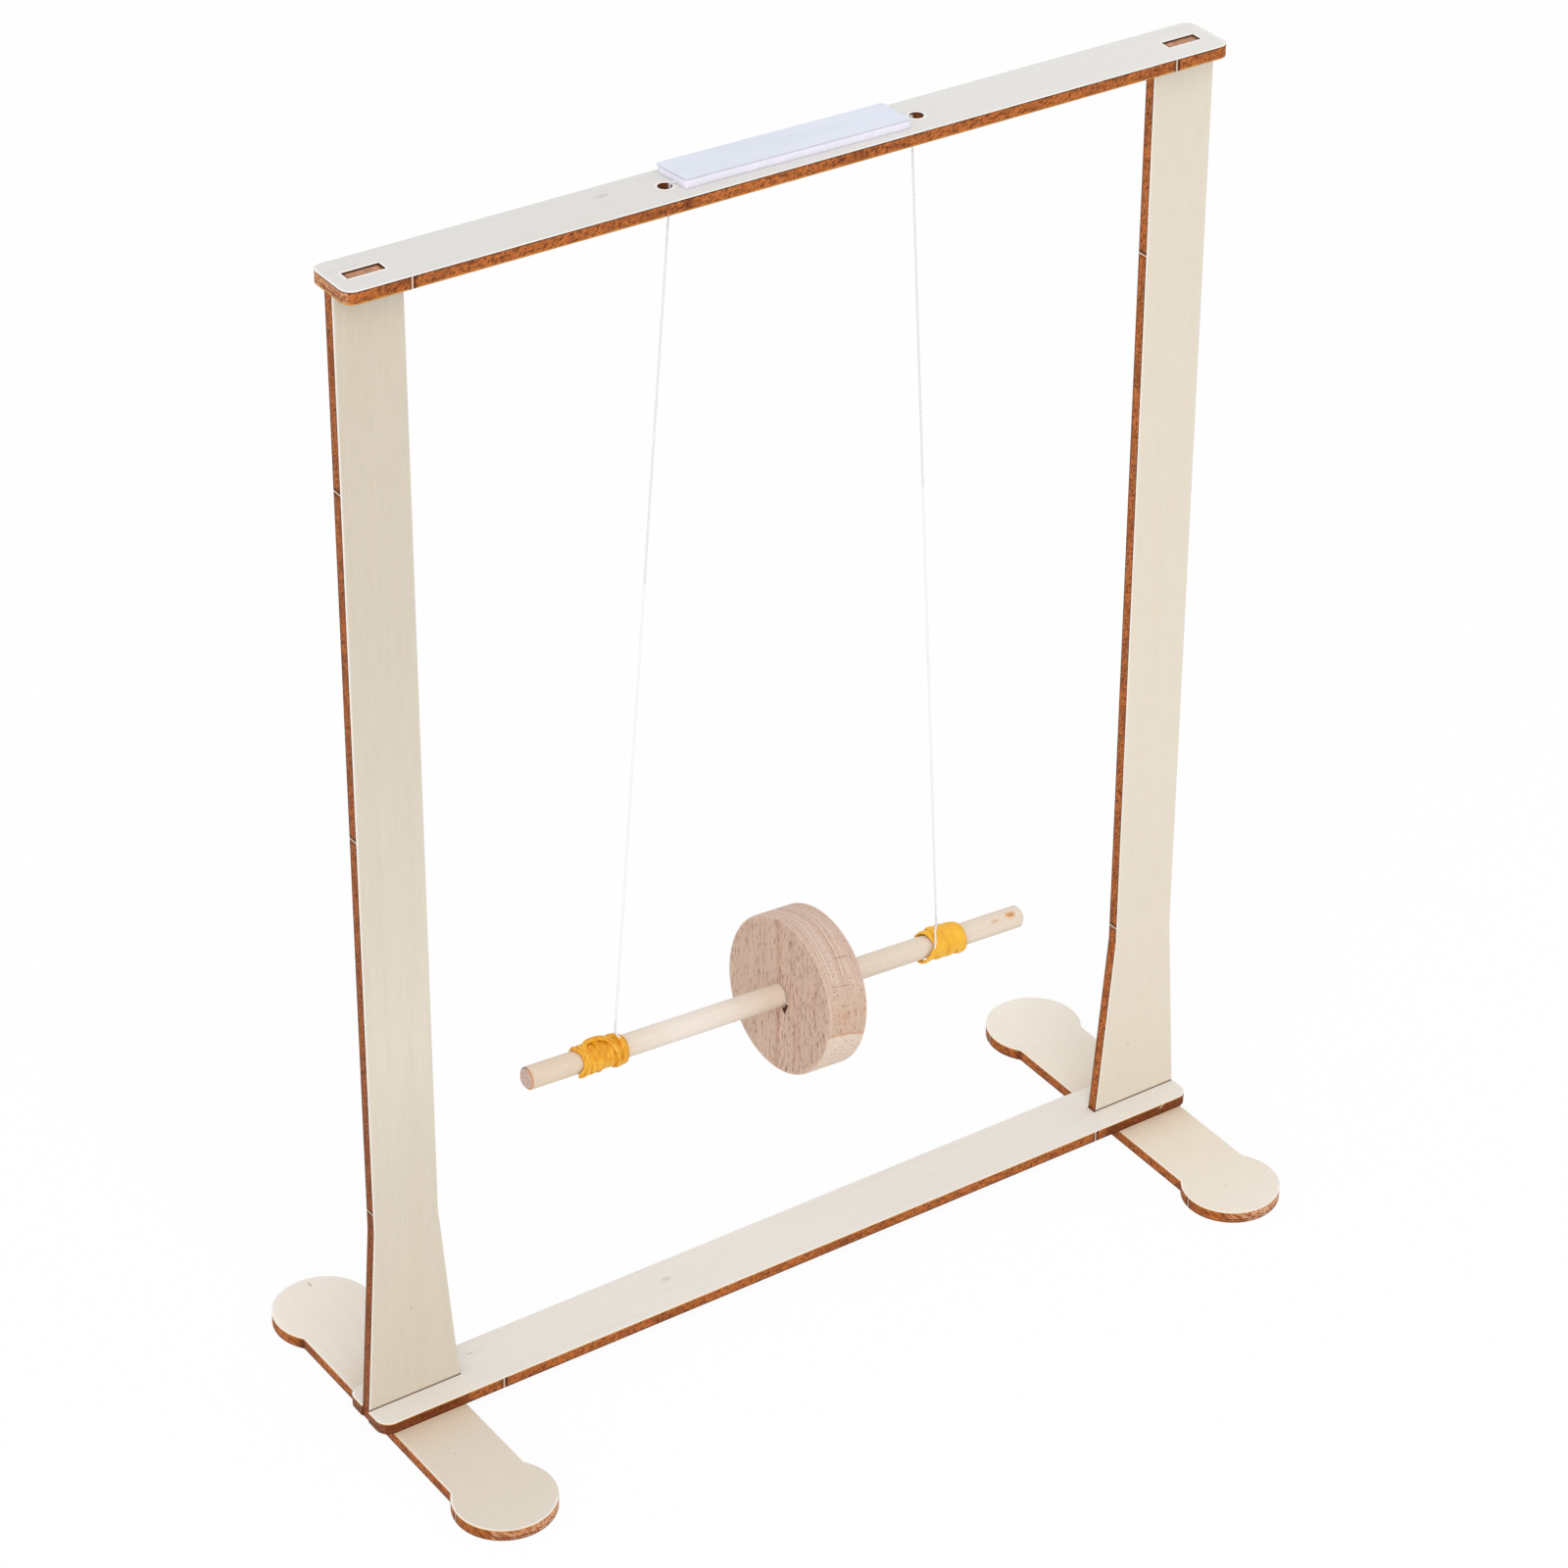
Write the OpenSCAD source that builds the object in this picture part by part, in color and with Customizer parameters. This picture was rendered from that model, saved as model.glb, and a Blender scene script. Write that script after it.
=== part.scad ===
// Maxwell pendulum on a slotted plywood stand.
// Frame: +X runs along the two beams to the right, +Y to the back, +Z up.
// The origin is on the floor, midway between the two feet. Sizes are in millimetres.

/* [Plywood] */
// Thickness of the sheet that every flat piece is cut from
ply_t = 3; // [2:0.1:4]
// Room left on each side of a tenon in its slot
slot_room = 0.05; // [0.02:0.01:0.2]
// How far the end of a tenon stays below the face it comes up to
tenon_recess = 0.3; // [0.1:0.1:1]

/* [Feet] */
// Width of a foot between its two round ends
foot_w = 20.2; // [18:0.1:23]
// Distance between the centres of a foot's round ends
foot_reach = 86.4; // [70:0.1:110]
// Diameter of a foot's round ends
foot_end_d = 25.7; // [24:0.1:34]
// Width of the tenon that goes down into a foot
foot_tenon_w = 14; // [8:0.5:18]

/* [Lower beam] */
// Length of the beam that lies on the feet
base_len = 245.6; // [220:0.1:280]
// How far each end of the lower beam runs past the upright that it holds
base_overrun = 0.3; // [0.1:0.1:2]
// Width of the beam that lies on the feet
base_w = 17.5; // [12:0.5:22]
// Gap between an upright and the inner end of its open slot
base_slot_gap = 0.4; // [0.2:0.1:2]
// Corner radius of the lower beam's four prongs
base_corner_r = 3.5; // [1:0.5:5]

/* [Uprights] */
// Width of an upright above its flare
upright_w = 17.5; // [14:0.5:21]
// Width of an upright where it stands on its foot
upright_foot_w = 25.4; // [23:0.1:30]
// How far an upright's outer side flares out towards the foot
flare_out = 3.5; // [1:0.5:5]
// Height above the floor at which the flare begins
flare_h = 58; // [30:1:90]

/* [Upper beam] */
// Height of the upper beam's top face above the floor
frame_h = 310; // [260:1:360]
// How far the upper beam runs past the outer side of each upright
top_overhang = 0; // [0:0.5:6]
// Width of the upper beam
top_w = 16; // [12:0.5:22]
// Corner radius of the upper beam
top_corner_r = 3; // [1:0.5:5]
// Width of the tenon that comes up through the upper beam
top_tenon_w = 8.6; // [6:0.1:11]
// Room left at each end of an upper tenon in its slot
top_tenon_room = 0.35; // [0.05:0.05:0.8]
// Distance between the centres of the two thread holes
hole_spacing = 68; // [66:1:84]
// Diameter of a thread hole
hole_d = 3.4; // [2.6:0.1:4]

/* [Tape] */
// Length of the foam tape that holds the thread down
tape_len = 60; // [40:1:62]
// Width of the foam tape
tape_w = 11.6; // [6:0.1:12.5]
// Thickness of the foam
foam_t = 2.2; // [1.5:0.1:4]
// Thickness of the paper that still covers the upper adhesive
liner_t = 0.2; // [0.1:0.05:0.4]
// How far the tape's middle lies to the left of the beam's middle
tape_shift_x = 1.1; // [0:0.1:1.5]
// How far the tape's middle lies behind the beam's middle
tape_shift_y = 1.1; // [-1:0.1:1.4]
// Angle by which the tape is stuck down askew
tape_turn = -1.2; // [-2:0.1:2]

/* [Thread] */
// Diameter of the thread
thread_d = 0.8; // [0.5:0.05:1]
// Distance from the rod's middle, along it, to the left-hand tie
left_tie_reach = 50.7; // [40:0.1:54]
// Distance from the rod's middle, along it, to the right-hand tie
right_tie_reach = 49.1; // [40:0.1:54]

/* [Rod and disc] */
// Diameter of the rod
rod_d = 5.8; // [4:0.1:8]
// Length of the rod
rod_len = 152.8; // [136:0.1:170]
// Height of the rod's middle above the floor
rod_h = 81.1; // [50:0.1:120]
// How far the rod's middle lies to the left of the frame's middle
rod_shift = 2.2; // [0:0.1:6]
// Angle by which the rod hangs lower at its right end
rod_tilt = 5.7; // [0:0.1:7]
// Angle by which the rod's left end stands forward of its right end
rod_yaw = 3.4; // [0:0.1:5]
// Edge chamfer at the rod's ends
rod_chamfer = 0.5; // [0.1:0.1:1]
// Diameter of the disc
disc_d = 41; // [30:0.5:54]
// Thickness of the disc
disc_t = 11.6; // [6:0.1:18]
// How far the disc sits to the right of the rod's middle
disc_shift = 5.3; // [-10:0.1:10]
// Edge chamfer round the disc
disc_chamfer = 0.3; // [0.1:0.1:1]
// Room between the rod and the bore of the disc
bore_room = 0.03; // [0.01:0.01:0.1]

/* [Rubber bands] */
// Thickness of a band's single strand
strand_d = 1.2; // [0.8:0.05:1.5]
// Turns that the doubled band makes round the rod
band_turns = 3.58; // [3.58:1:5.58]
// Least gap between neighbouring strands
strand_gap = 0.42; // [0.41:0.01:0.8]
// Angle from the top of the rod, over its front, at which the winding starts
band_start = 150; // [90:5:180]
// Room between a winding and the rod
seat_room = 0.05; // [0.03:0.01:0.1]
// Gaps between strands that lie to the left of the left-hand thread
left_gaps_before = 5; // [1:1:5]
// Gaps between strands that lie to the left of the right-hand thread
right_gaps_before = 2; // [1:1:5]

/* [Hidden] */
$fn = 96;

// How far a cutting shape runs past the face it opens, and a tenon back into its plate
overlap = 1;

// Upright, measured from the middle of the frame to the right
upright_foot_out = base_len / 2 - base_overrun;
upright_foot_in = upright_foot_out - upright_foot_w;
upright_out = upright_foot_out - flare_out;
upright_in = upright_out - upright_w;
upright_mid = (upright_out + upright_in) / 2;
foot_mid = (upright_foot_out + upright_foot_in) / 2;
slot_w = ply_t + 2 * slot_room;
beam_under = frame_h - ply_t;

// Thread: it lies on the beam and turns down over the inner edge of each hole
thread_r = thread_d / 2;
lie = 0.05;
hole_inner = hole_spacing / 2 - hole_d / 2;
bend_r = thread_r + lie;
drop_x = hole_inner + bend_r;
thread_room = 0.1;
thread_sides = 8;
bend_step = 15;

// Winding: the band is doubled, so its two strands run side by side
winding_r = rod_d / 2 + seat_room + strand_d / 2;
tie_r = rod_d / 2 + seat_room + thread_r;
strand_step = strand_d + strand_gap;
turn_step = 2 * strand_step;
band_sides = 6;
rings_per_turn = 24;
bend_rings = 8;
band_w_end = turn_step * band_turns;
tie_widening = thread_d + 2 * thread_room + strand_d - strand_step;

// The tie stands up past the winding, square to the rod
stub_top = winding_r + strand_d / 2 + thread_d;
end_len = 3;
face_gap = 0.1;

left_tie_u = -left_tie_reach;
right_tie_u = right_tie_reach;
cream = [0.89, 0.86, 0.81];
beige = [0.85, 0.80, 0.72];
pale = [0.88, 0.87, 0.85];
thread_white = [0.93, 0.93, 0.96];
band_yellow = [0.94, 0.67, 0.16];

// Place in the frame of a point given along, behind and above the rod's middle
function on_rod(p) =
    let (
        x = p[0] * cos(rod_tilt) + p[2] * sin(rod_tilt),
        z = p[2] * cos(rod_tilt) - p[0] * sin(rod_tilt)
    )
    [
        x * cos(rod_yaw) - p[1] * sin(rod_yaw) - rod_shift,
        x * sin(rod_yaw) + p[1] * cos(rod_yaw),
        z + rod_h
    ];
function unit(v) = v / norm(v);
function across(v, t) = unit(v - (v * t) * t);

// Direction of a line of points at one of them
function heading(points, i, closed) =
    let (
        n = len(points),
        before = closed ? points[(i + n - 1) % n] : points[max(i - 1, 0)],
        after = closed ? points[(i + 1) % n] : points[min(i + 1, n - 1)]
    ) unit(after - before);

// Tube along points. Each ring of corners is turned to face that point's side vector.
module tube(points, side_vectors, d, sides, closed) {
    n = len(points);
    corners = [
        for (i = [0 : n - 1])
            let (t = heading(points, i, closed), a = across(side_vectors[i], t), b = cross(t, a))
            for (k = [0 : sides - 1])
                points[i] + d / 2 * (cos(360 * k / sides) * a + sin(360 * k / sides) * b)
    ];
    walls = [
        for (i = [0 : closed ? n - 1 : n - 2], k = [0 : sides - 1])
            let (
                j = (i + 1) % n,
                m = (k + 1) % sides,
                p = i * sides + k,
                q = i * sides + m,
                r = j * sides + m,
                s = j * sides + k
            )
            each [[p, s, q], [q, s, r]]
    ];
    ends = closed ? [] : [
        for (k = [1 : sides - 2])
            each [[0, k, k + 1], [(n - 1) * sides, (n - 1) * sides + k + 1, (n - 1) * sides + k]]
    ];
    polyhedron(points = corners, faces = concat(walls, ends));
}

module rounded_strip(length, width, r) {
    square([length - 2 * r, width], center = true);
    square([length, width - 2 * r], center = true);
    for (x = [-1, 1], y = [-1, 1])
        translate([x * (length / 2 - r), y * (width / 2 - r)])
            circle(r);
}

// Foot: a strip with a larger round end at the front and at the back
module foot() {
    color(cream)
        linear_extrude(ply_t)
            difference() {
                union() {
                    square([foot_w, foot_reach], center = true);
                    for (y = [-1, 1])
                        translate([0, y * foot_reach / 2])
                            circle(d = foot_end_d);
                }
                square([foot_tenon_w + 2 * slot_room, slot_w], center = true);
            }
}

module left_foot() {
    translate([-foot_mid, 0, 0])
        foot();
}

module right_foot() {
    translate([foot_mid, 0, 0])
        foot();
}

// Lower beam: a slot open at each end slides over the wide part of an upright
module base_beam() {
    slot_deep = base_overrun + upright_foot_w + base_slot_gap;
    color(cream)
        translate([0, 0, ply_t])
            linear_extrude(ply_t)
                difference() {
                    rounded_strip(base_len, base_w, base_corner_r);
                    for (x = [-1, 1])
                        translate([x * (base_len - slot_deep + overlap) / 2, 0])
                            square([slot_deep + overlap, slot_w], center = true);
                }
}

// Outline of the right-hand upright, seen from the front
module upright_outline() {
    polygon([
        [upright_foot_in, ply_t],
        [upright_foot_out, ply_t],
        [upright_foot_out, 2 * ply_t],
        [upright_out, flare_h],
        [upright_out, beam_under],
        [upright_in, beam_under],
        [upright_in, flare_h],
        [upright_foot_in, 2 * ply_t]
    ]);
    translate([foot_mid - foot_tenon_w / 2, tenon_recess])
        square([foot_tenon_w, ply_t - tenon_recess + overlap]);
    translate([upright_mid - top_tenon_w / 2, beam_under - overlap])
        square([top_tenon_w, ply_t - tenon_recess + overlap]);
}

module right_upright() {
    color(beige)
        translate([0, ply_t / 2, 0])
            rotate([90, 0, 0])
                linear_extrude(ply_t)
                    upright_outline();
}

module left_upright() {
    mirror([1, 0, 0])
        right_upright();
}

module top_beam() {
    color(pale)
        translate([0, 0, beam_under])
            linear_extrude(ply_t)
                difference() {
                    rounded_strip(2 * (upright_out + top_overhang), top_w, top_corner_r);
                    for (x = [-1, 1]) {
                        translate([x * upright_mid, 0])
                            square([top_tenon_w + 2 * top_tenon_room, slot_w], center = true);
                        translate([x * hole_spacing / 2, 0])
                            circle(d = hole_d);
                    }
                }
}

module tape_place(z) {
    translate([-tape_shift_x, tape_shift_y, z])
        rotate([0, 0, tape_turn])
            children();
}

// Foam tape, pressed down over the thread, which leaves a channel in its underside
module foam_tape() {
    channel_w = thread_d + 2 * thread_room;
    color([0.87, 0.87, 0.92])
        difference() {
            tape_place(frame_h)
                linear_extrude(foam_t)
                    square([tape_len, tape_w], center = true);
            translate([-hole_spacing / 2, -channel_w / 2, frame_h - overlap])
                cube([hole_spacing, channel_w, overlap + lie + thread_d + thread_room]);
        }
}

module tape_liner() {
    color([0.89, 0.91, 0.97])
        tape_place(frame_h + foam_t)
            linear_extrude(liner_t)
                square([tape_len, tape_w], center = true);
}

// Thread between the two holes, with its short drop through the beam at each end
module thread_bridge() {
    quarter = [for (a = [0 : bend_step : 90]) bend_r * [sin(a), cos(a)]];
    half = [
        for (q = quarter) [hole_inner + q[0], 0, frame_h + q[1]],
        [drop_x, 0, beam_under + thread_d],
        [drop_x, 0, beam_under]
    ];
    route = concat(
        [for (i = [len(half) - 1 : -1 : 0]) [-half[i][0], 0, half[i][2]]],
        [[0, 0, frame_h + bend_r]],
        half
    );
    color(thread_white)
        tube(route, [for (p = route) [0, 1, 0]], thread_d, thread_sides, false);
}

// A straight stretch of thread between two points
module straight_thread(from, to) {
    line = to - from;
    color(thread_white)
        translate(from)
            rotate([0, acos(line[2] / norm(line)), atan2(line[1], line[0])])
                cylinder(h = norm(line), r = thread_r);
}

// Top of the tie that a thread comes down to
function tie_top(u) = on_rod([u, 0, stub_top]);
function mouth(u) = [(u < 0 ? -1 : 1) * drop_x, 0, beam_under];
function up_thread(u) = unit(mouth(u) - tie_top(u));

// The free stretch: it shortens as the thread winds onto the rod
module free_thread(u) {
    straight_thread(
        mouth(u) - face_gap * up_thread(u),
        tie_top(u) + (end_len + 2 * face_gap) * up_thread(u)
    );
}

// The last stretch before the rod, which rises with the rod and doesn't turn with it
module thread_end(u) {
    straight_thread(
        tie_top(u) + (end_len + face_gap) * up_thread(u),
        tie_top(u) + face_gap * up_thread(u)
    );
}

module left_thread() {
    free_thread(left_tie_u);
}

module right_thread() {
    free_thread(right_tie_u);
}

module left_thread_end() {
    thread_end(left_tie_u);
}

module right_thread_end() {
    thread_end(right_tie_u);
}

// Puts children drawn along X, about the rod's own middle, in their place
module rod_place() {
    translate([-rod_shift, 0, rod_h])
        rotate([0, rod_tilt, rod_yaw])
            children();
}

module axle_dowel() {
    r = rod_d / 2;
    h = rod_len / 2;
    c = rod_chamfer;
    color([0.93, 0.87, 0.78])
        rod_place()
            rotate([0, 90, 0])
                rotate_extrude()
                    polygon([[0, -h], [r - c, -h], [r, c - h], [r, h - c], [r - c, h], [0, h]]);
}

module wheel_disc() {
    r = disc_d / 2;
    b = rod_d / 2 + bore_room;
    h = disc_t / 2;
    c = disc_chamfer;
    color([0.80, 0.67, 0.59])
        rod_place()
            translate([disc_shift, 0, 0])
                rotate([0, 90, 0])
                    rotate_extrude()
                        polygon([[b, -h], [r - c, -h], [r, c - h], [r, h - c], [r - c, h], [b, h]]);
}

// Point at an angle from the top of the rod over its front, at u along it and r from its axis
function round_rod(u, angle, r) = [u, -r * sin(angle), r * cos(angle)];

// Middle of the gap that the thread comes through, counted along the even winding
function gap_w(gaps) =
    turn_step * (1 - band_start / 360) - turn_step / 4 + gaps * turn_step / 2;

// The strands stand further apart over the one turn where the thread lies between them
function spread(w, gaps) =
    let (zone = gap_w(gaps) - turn_step / 4)
    w + 2 * tie_widening * min(max((w - zone) / turn_step, 0), 1);

// The doubled band: one strand winds to the right, turns back on itself and returns beside it
function band_route(tie_u, gaps) =
    let (
        start_u = tie_u - spread(gap_w(gaps), gaps),
        steps = round(rings_per_turn * band_turns),
        r_bend = strand_step / 2,
        swing = function(s) r_bend * sin(s) / winding_r * 180 / PI,
        out = [for (i = [0 : steps]) [i / steps * band_turns * 360, band_w_end * i / steps]],
        turn_right = [
            for (i = [1 : bend_rings - 1])
                let (s = 180 * i / bend_rings)
                [band_turns * 360 + swing(s), band_w_end - r_bend * (1 - cos(s))]
        ],
        back = [
            for (i = [steps : -1 : 0])
                [i / steps * band_turns * 360, band_w_end * i / steps - strand_step]
        ],
        turn_left = [
            for (i = [1 : bend_rings - 1])
                let (s = 180 * i / bend_rings)
                [-swing(s), -strand_step + r_bend * (1 - cos(s))]
        ]
    )
    [
        for (q = concat(out, turn_right, back, turn_left))
            round_rod(start_u + spread(q[1], gaps), band_start + q[0], winding_r)
    ];

// Least distance between rings that aren't near each other along the band
function least_gap(points) =
    let (n = len(points))
    min([
        for (i = [0 : n - 1], j = [i + 1 : 1 : n - 1])
            if (min(j - i, n - j + i) > bend_rings)
                norm(points[i] - points[j])
    ]) - strand_d;

module rubber_band(tie_u, gaps) {
    route = band_route(tie_u, gaps);
    echo(least_gap_between_strands = least_gap(route));
    color(band_yellow)
        rod_place()
            tube(route, [for (p = route) [0, p[1], p[2]]], strand_d, band_sides, true);
}

module left_rubber_band() {
    rubber_band(left_tie_u, left_gaps_before);
}

module right_rubber_band() {
    rubber_band(right_tie_u, right_gaps_before);
}

// The tied end: down between two strands, then half way round the rod under its front
module thread_tie(tie_u, gaps) {
    corner_r = thread_d;
    turn_in = asin(corner_r / (tie_r + corner_r));
    lean = function(a) spread(gap_w(gaps) + turn_step * a / 360, gaps) - spread(gap_w(gaps), gaps);
    route = concat(
        [[tie_u, 0, stub_top], [tie_u, 0, stub_top - thread_d]],
        [
            for (a = [0 : bend_step : 90 - turn_in])
                [tie_u, -corner_r * (1 - cos(a)), (tie_r + corner_r) * cos(turn_in) - corner_r * sin(a)]
        ],
        [for (a = [turn_in + bend_step / 2 : bend_step : 180]) round_rod(tie_u + lean(a), a, tie_r)]
    );
    color(thread_white)
        rod_place()
            tube(route, [for (p = route) [1, 0, 0]], thread_d, thread_sides, false);
}

module left_thread_tie() {
    thread_tie(left_tie_u, left_gaps_before);
}

module right_thread_tie() {
    thread_tie(right_tie_u, right_gaps_before);
}

left_foot();
right_foot();
base_beam();
left_upright();
right_upright();
top_beam();
foam_tape();
tape_liner();
thread_bridge();
left_thread();
right_thread();
left_thread_end();
right_thread_end();
axle_dowel();
wheel_disc();
left_rubber_band();
right_rubber_band();
left_thread_tie();
right_thread_tie();
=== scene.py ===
import math

import bmesh
import bpy
from mathutils import Euler, Matrix, Vector, noise


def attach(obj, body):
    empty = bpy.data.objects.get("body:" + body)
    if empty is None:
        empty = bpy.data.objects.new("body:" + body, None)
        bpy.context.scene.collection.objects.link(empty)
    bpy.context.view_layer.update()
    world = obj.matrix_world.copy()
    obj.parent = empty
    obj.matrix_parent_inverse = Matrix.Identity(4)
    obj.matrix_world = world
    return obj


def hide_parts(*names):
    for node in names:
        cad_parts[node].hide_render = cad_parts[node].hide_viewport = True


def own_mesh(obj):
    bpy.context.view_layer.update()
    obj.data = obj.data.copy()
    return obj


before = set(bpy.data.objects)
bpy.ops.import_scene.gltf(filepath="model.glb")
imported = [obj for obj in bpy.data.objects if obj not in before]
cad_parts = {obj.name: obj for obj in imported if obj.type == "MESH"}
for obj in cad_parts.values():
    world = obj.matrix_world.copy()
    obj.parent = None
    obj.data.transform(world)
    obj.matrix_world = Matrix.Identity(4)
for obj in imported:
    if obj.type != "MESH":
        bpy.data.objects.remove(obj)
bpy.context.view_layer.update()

bl_info = {
    "name": "Maxwell pendulum",
    "version": (1, 0, 0),
    "blender": (4, 5, 0),
    "location": "3D View > Sidebar > Pendulum",
    "description": "Finishes a maxwell pendulum on a slotted plywood stand",
    "category": "Object",
}

MM = 0.001
TO_MM = (1 / MM,) * 3

# The rod hangs askew. Its own frame runs along X, with its middle at the origin.
ROD_MIDDLE = Vector((-2.2, 0, 81.1)) * MM
ROD_TURN = Euler((0, math.radians(5.7), math.radians(3.4)))
ROD_PLACE = Matrix.Translation(ROD_MIDDLE) @ ROD_TURN.to_matrix().to_4x4()
ROD_RADIUS = 2.9
ROD_HALF = 76.4
DISC_RADIUS = 20.5

# Thread, in millimetres: the two holes that it leaves the beam by, and the tops of its two ties on the rod
HOLE_MIDDLE = 32.75
HOLE_INNER = 32.3
BEAM_TOP = 310
BEAM_UNDER = 307
MOUTHS = {"left": Vector((-HOLE_MIDDLE, 0, BEAM_UNDER)), "right": Vector((HOLE_MIDDLE, 0, BEAM_UNDER))}
TIE_REACH = {"left": -50.7, "right": 49.1}
TIE_TOP = 4.95
END_LENGTH = 3
FACE_GAP = 0.1


def paint(colour):
    """A colour, given as on a screen, as a shader socket takes it."""
    return tuple(v / 12.92 if v <= 0.04045 else ((v + 0.055) / 1.055) ** 2.4 for v in colour) + (1.0,)


def shaded(colour, factor):
    """The colour times one factor, or times one for each of red, green and blue."""
    factors = factor if isinstance(factor, tuple) else (factor,) * 3
    return tuple(min(1.0, v * f) for v, f in zip(colour, factors))


# Sizes and colours


def swatch(name, description, red, green, blue):
    """A colour that a user may change. Its default is given in steps from 0 to 255."""
    return bpy.props.FloatVectorProperty(
        name=name,
        description=description,
        subtype="COLOR_GAMMA",
        size=3,
        min=0,
        max=1,
        default=(red / 255, green / 255, blue / 255),
    )


def measure(name, description, millimetres, least, most):
    """A length that a user may change."""
    return bpy.props.FloatProperty(
        name=name,
        description=description,
        subtype="DISTANCE",
        unit="LENGTH",
        precision=5,
        default=millimetres * MM,
        min=least * MM,
        max=most * MM,
    )


def level(name, description, default, most, **kind):
    """A lamp's power, or the strength of the daylight."""
    return bpy.props.FloatProperty(
        name=name, description=description, default=default, min=0, max=most, **kind
    )


class PlywoodLook(bpy.types.PropertyGroup):
    top_beam: swatch("Top beam", "Face of the upper beam", 227, 225, 221)
    base_beam: swatch("Base beam", "Face of the lower beam", 231, 225, 216)
    # The left upright's face is darker than the right one's, partly as painted shade
    left_upright: swatch("Left upright", "Face of the left upright", 217, 206, 189)
    right_upright: swatch("Right upright", "Face of the right upright", 231, 220, 203)
    left_foot: swatch("Left foot", "Face of the left foot", 226, 213, 197)
    right_foot: swatch("Right foot", "Face of the right foot", 234, 223, 208)
    edge: swatch("Cut edge", "Brown of the laser-cut edges", 190, 104, 48)
    char: swatch("Char", "Darker streaks of the laser-cut edges", 104, 46, 16)
    amber: swatch("Amber", "Light line along one veneer of an edge", 222, 160, 74)
    bare_edge: swatch("Bare edge", "Edge where the scorch is thin", 238, 204, 168)
    torn: swatch("Torn tab", "Wood torn where a tab held the sheet", 244, 222, 200)
    tenon: swatch("Tenon", "Upper ends of the uprights in the upper beam", 166, 122, 96)
    # Colour of the painted highlight along the faces' rims, and along the foot of each upright on the base
    # beam
    bare: swatch("Bare rim", "Pale line along the rims of the faces", 253, 250, 244)
    seam: swatch("Seam", "Line where one plate meets another", 112, 84, 66)
    # Painted shade on the feet's faces in front of the base beam, strongest at the beam's front
    beam_shade: swatch("Warm tint", "The feet's faces where the beam stands on them", 219, 194, 164)
    mark: swatch("Mark", "Small marks on the faces", 168, 150, 128)
    # Width of the painted highlight along a face's rim
    rim: measure("Worn rim", "Width of the lighter line along a face's edge", 0.9, 0.05, 1)


class ThreadLook(bpy.types.PropertyGroup):
    diameter: measure("Diameter", "Diameter of the twisted thread", 0.6, 0.3, 0.8)
    pitch: measure("Pitch", "Length of one twist of its two plies", 1.6, 0.6, 4)
    colour: swatch("Thread", "White of the thread", 250, 251, 255)


class TapeLook(bpy.types.PropertyGroup):
    bulge: measure("Bulge", "How far the sides of the foam stand out", 0.22, 0, 0.6)
    askew: measure("Askew", "How far the left end of the tape is cut out of square", 1.1, 0, 3)
    corner: measure("Back corners", "Radius of the paper's two back corners", 0.9, 0.1, 3)
    slope: measure("Slope", "How much lower the tape lies along its back", 0.4, 0, 1)
    foam: swatch("Foam", "Sides of the foam", 238, 236, 248)
    paper: swatch("Paper", "The release paper on top", 224, 229, 243)
    paper_light: swatch("Paper light", "Paler fibres of the release paper", 240, 243, 252)
    paper_side: swatch("Paper side", "Cut sides of the release paper", 196, 194, 200)


class WheelLook(bpy.types.PropertyGroup):
    rod: swatch("Rod", "Pale wood of the rod", 224, 204, 181)
    rod_pale: swatch("Pale rod", "Palest parts of the rod", 236, 225, 213)
    rod_end: swatch("Rod end", "End grain of the rod", 200, 172, 160)
    rod_lip: swatch("Rod lip", "Front lip of the rod's ends", 206, 148, 104)
    speckle: swatch("Speckle", "Fine dots of the rod", 224, 198, 172)
    pale_dots: swatch("Pale dots", "Paler dots of the rod", 248, 240, 230)
    stain: swatch("Stain", "Knots near the rod's right end", 222, 158, 98)
    disc: swatch("Disc", "Face of the disc in front of its hub", 206, 176, 158)
    disc_back: swatch("Disc behind", "Face of the disc behind its hub", 206, 178, 159)
    disc_light: swatch("Disc light", "Lighter streaks of the disc", 214, 190, 170)
    rim: swatch("Rim", "Side of the disc", 211, 181, 159)
    rim_top: swatch("Upper rim", "Side of the disc near its top", 219, 195, 180)
    # The lower rim colour is partly painted light thrown up from the floor. It also colours pale grain lines
    # and the painted highlight on the disc's rims.
    rim_pale_and_lit: swatch("Lower rim", "Plainer lower side of the disc", 229, 207, 189)
    ring: swatch("Ring", "Darker growth rings of the disc", 174, 126, 102)
    fleck: swatch("Fleck", "Short dark flecks of the disc", 130, 84, 66)
    blush: swatch("Blush", "Redder marks on the disc's side", 206, 158, 128)
    # Painted shade: the dark gap at the hub and the hollow of the torn chip
    hub_shade: swatch("Crack", "Gap and torn chip at the hub", 92, 30, 10)


class BandLook(bpy.types.PropertyGroup):
    colour: swatch("Rubber", "Yellow of the rubber bands", 231, 167, 28)
    # The crease colour is painted shade of the creases between the strands
    crease: swatch("Crease", "Darker yellow in patches", 222, 142, 10)
    right: swatch("Right band", "Yellow of the right band", 252, 196, 58)
    highlight: swatch("Highlight", "Palest yellow of the rubber", 246, 190, 66)


class StageLook(bpy.types.PropertyGroup):
    floor: swatch("Floor", "Colour of the floor", 246, 246, 246)
    daylight: level("Daylight", "Strength of the even light from all round", 0.80, 3)
    key: level("Key", "Power of the large lamp over the front", 16, 500, subtype="POWER")
    fill: level("Fill", "Power of the low lamp at the left", 4, 500, subtype="POWER")


# Laying nodes


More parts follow.
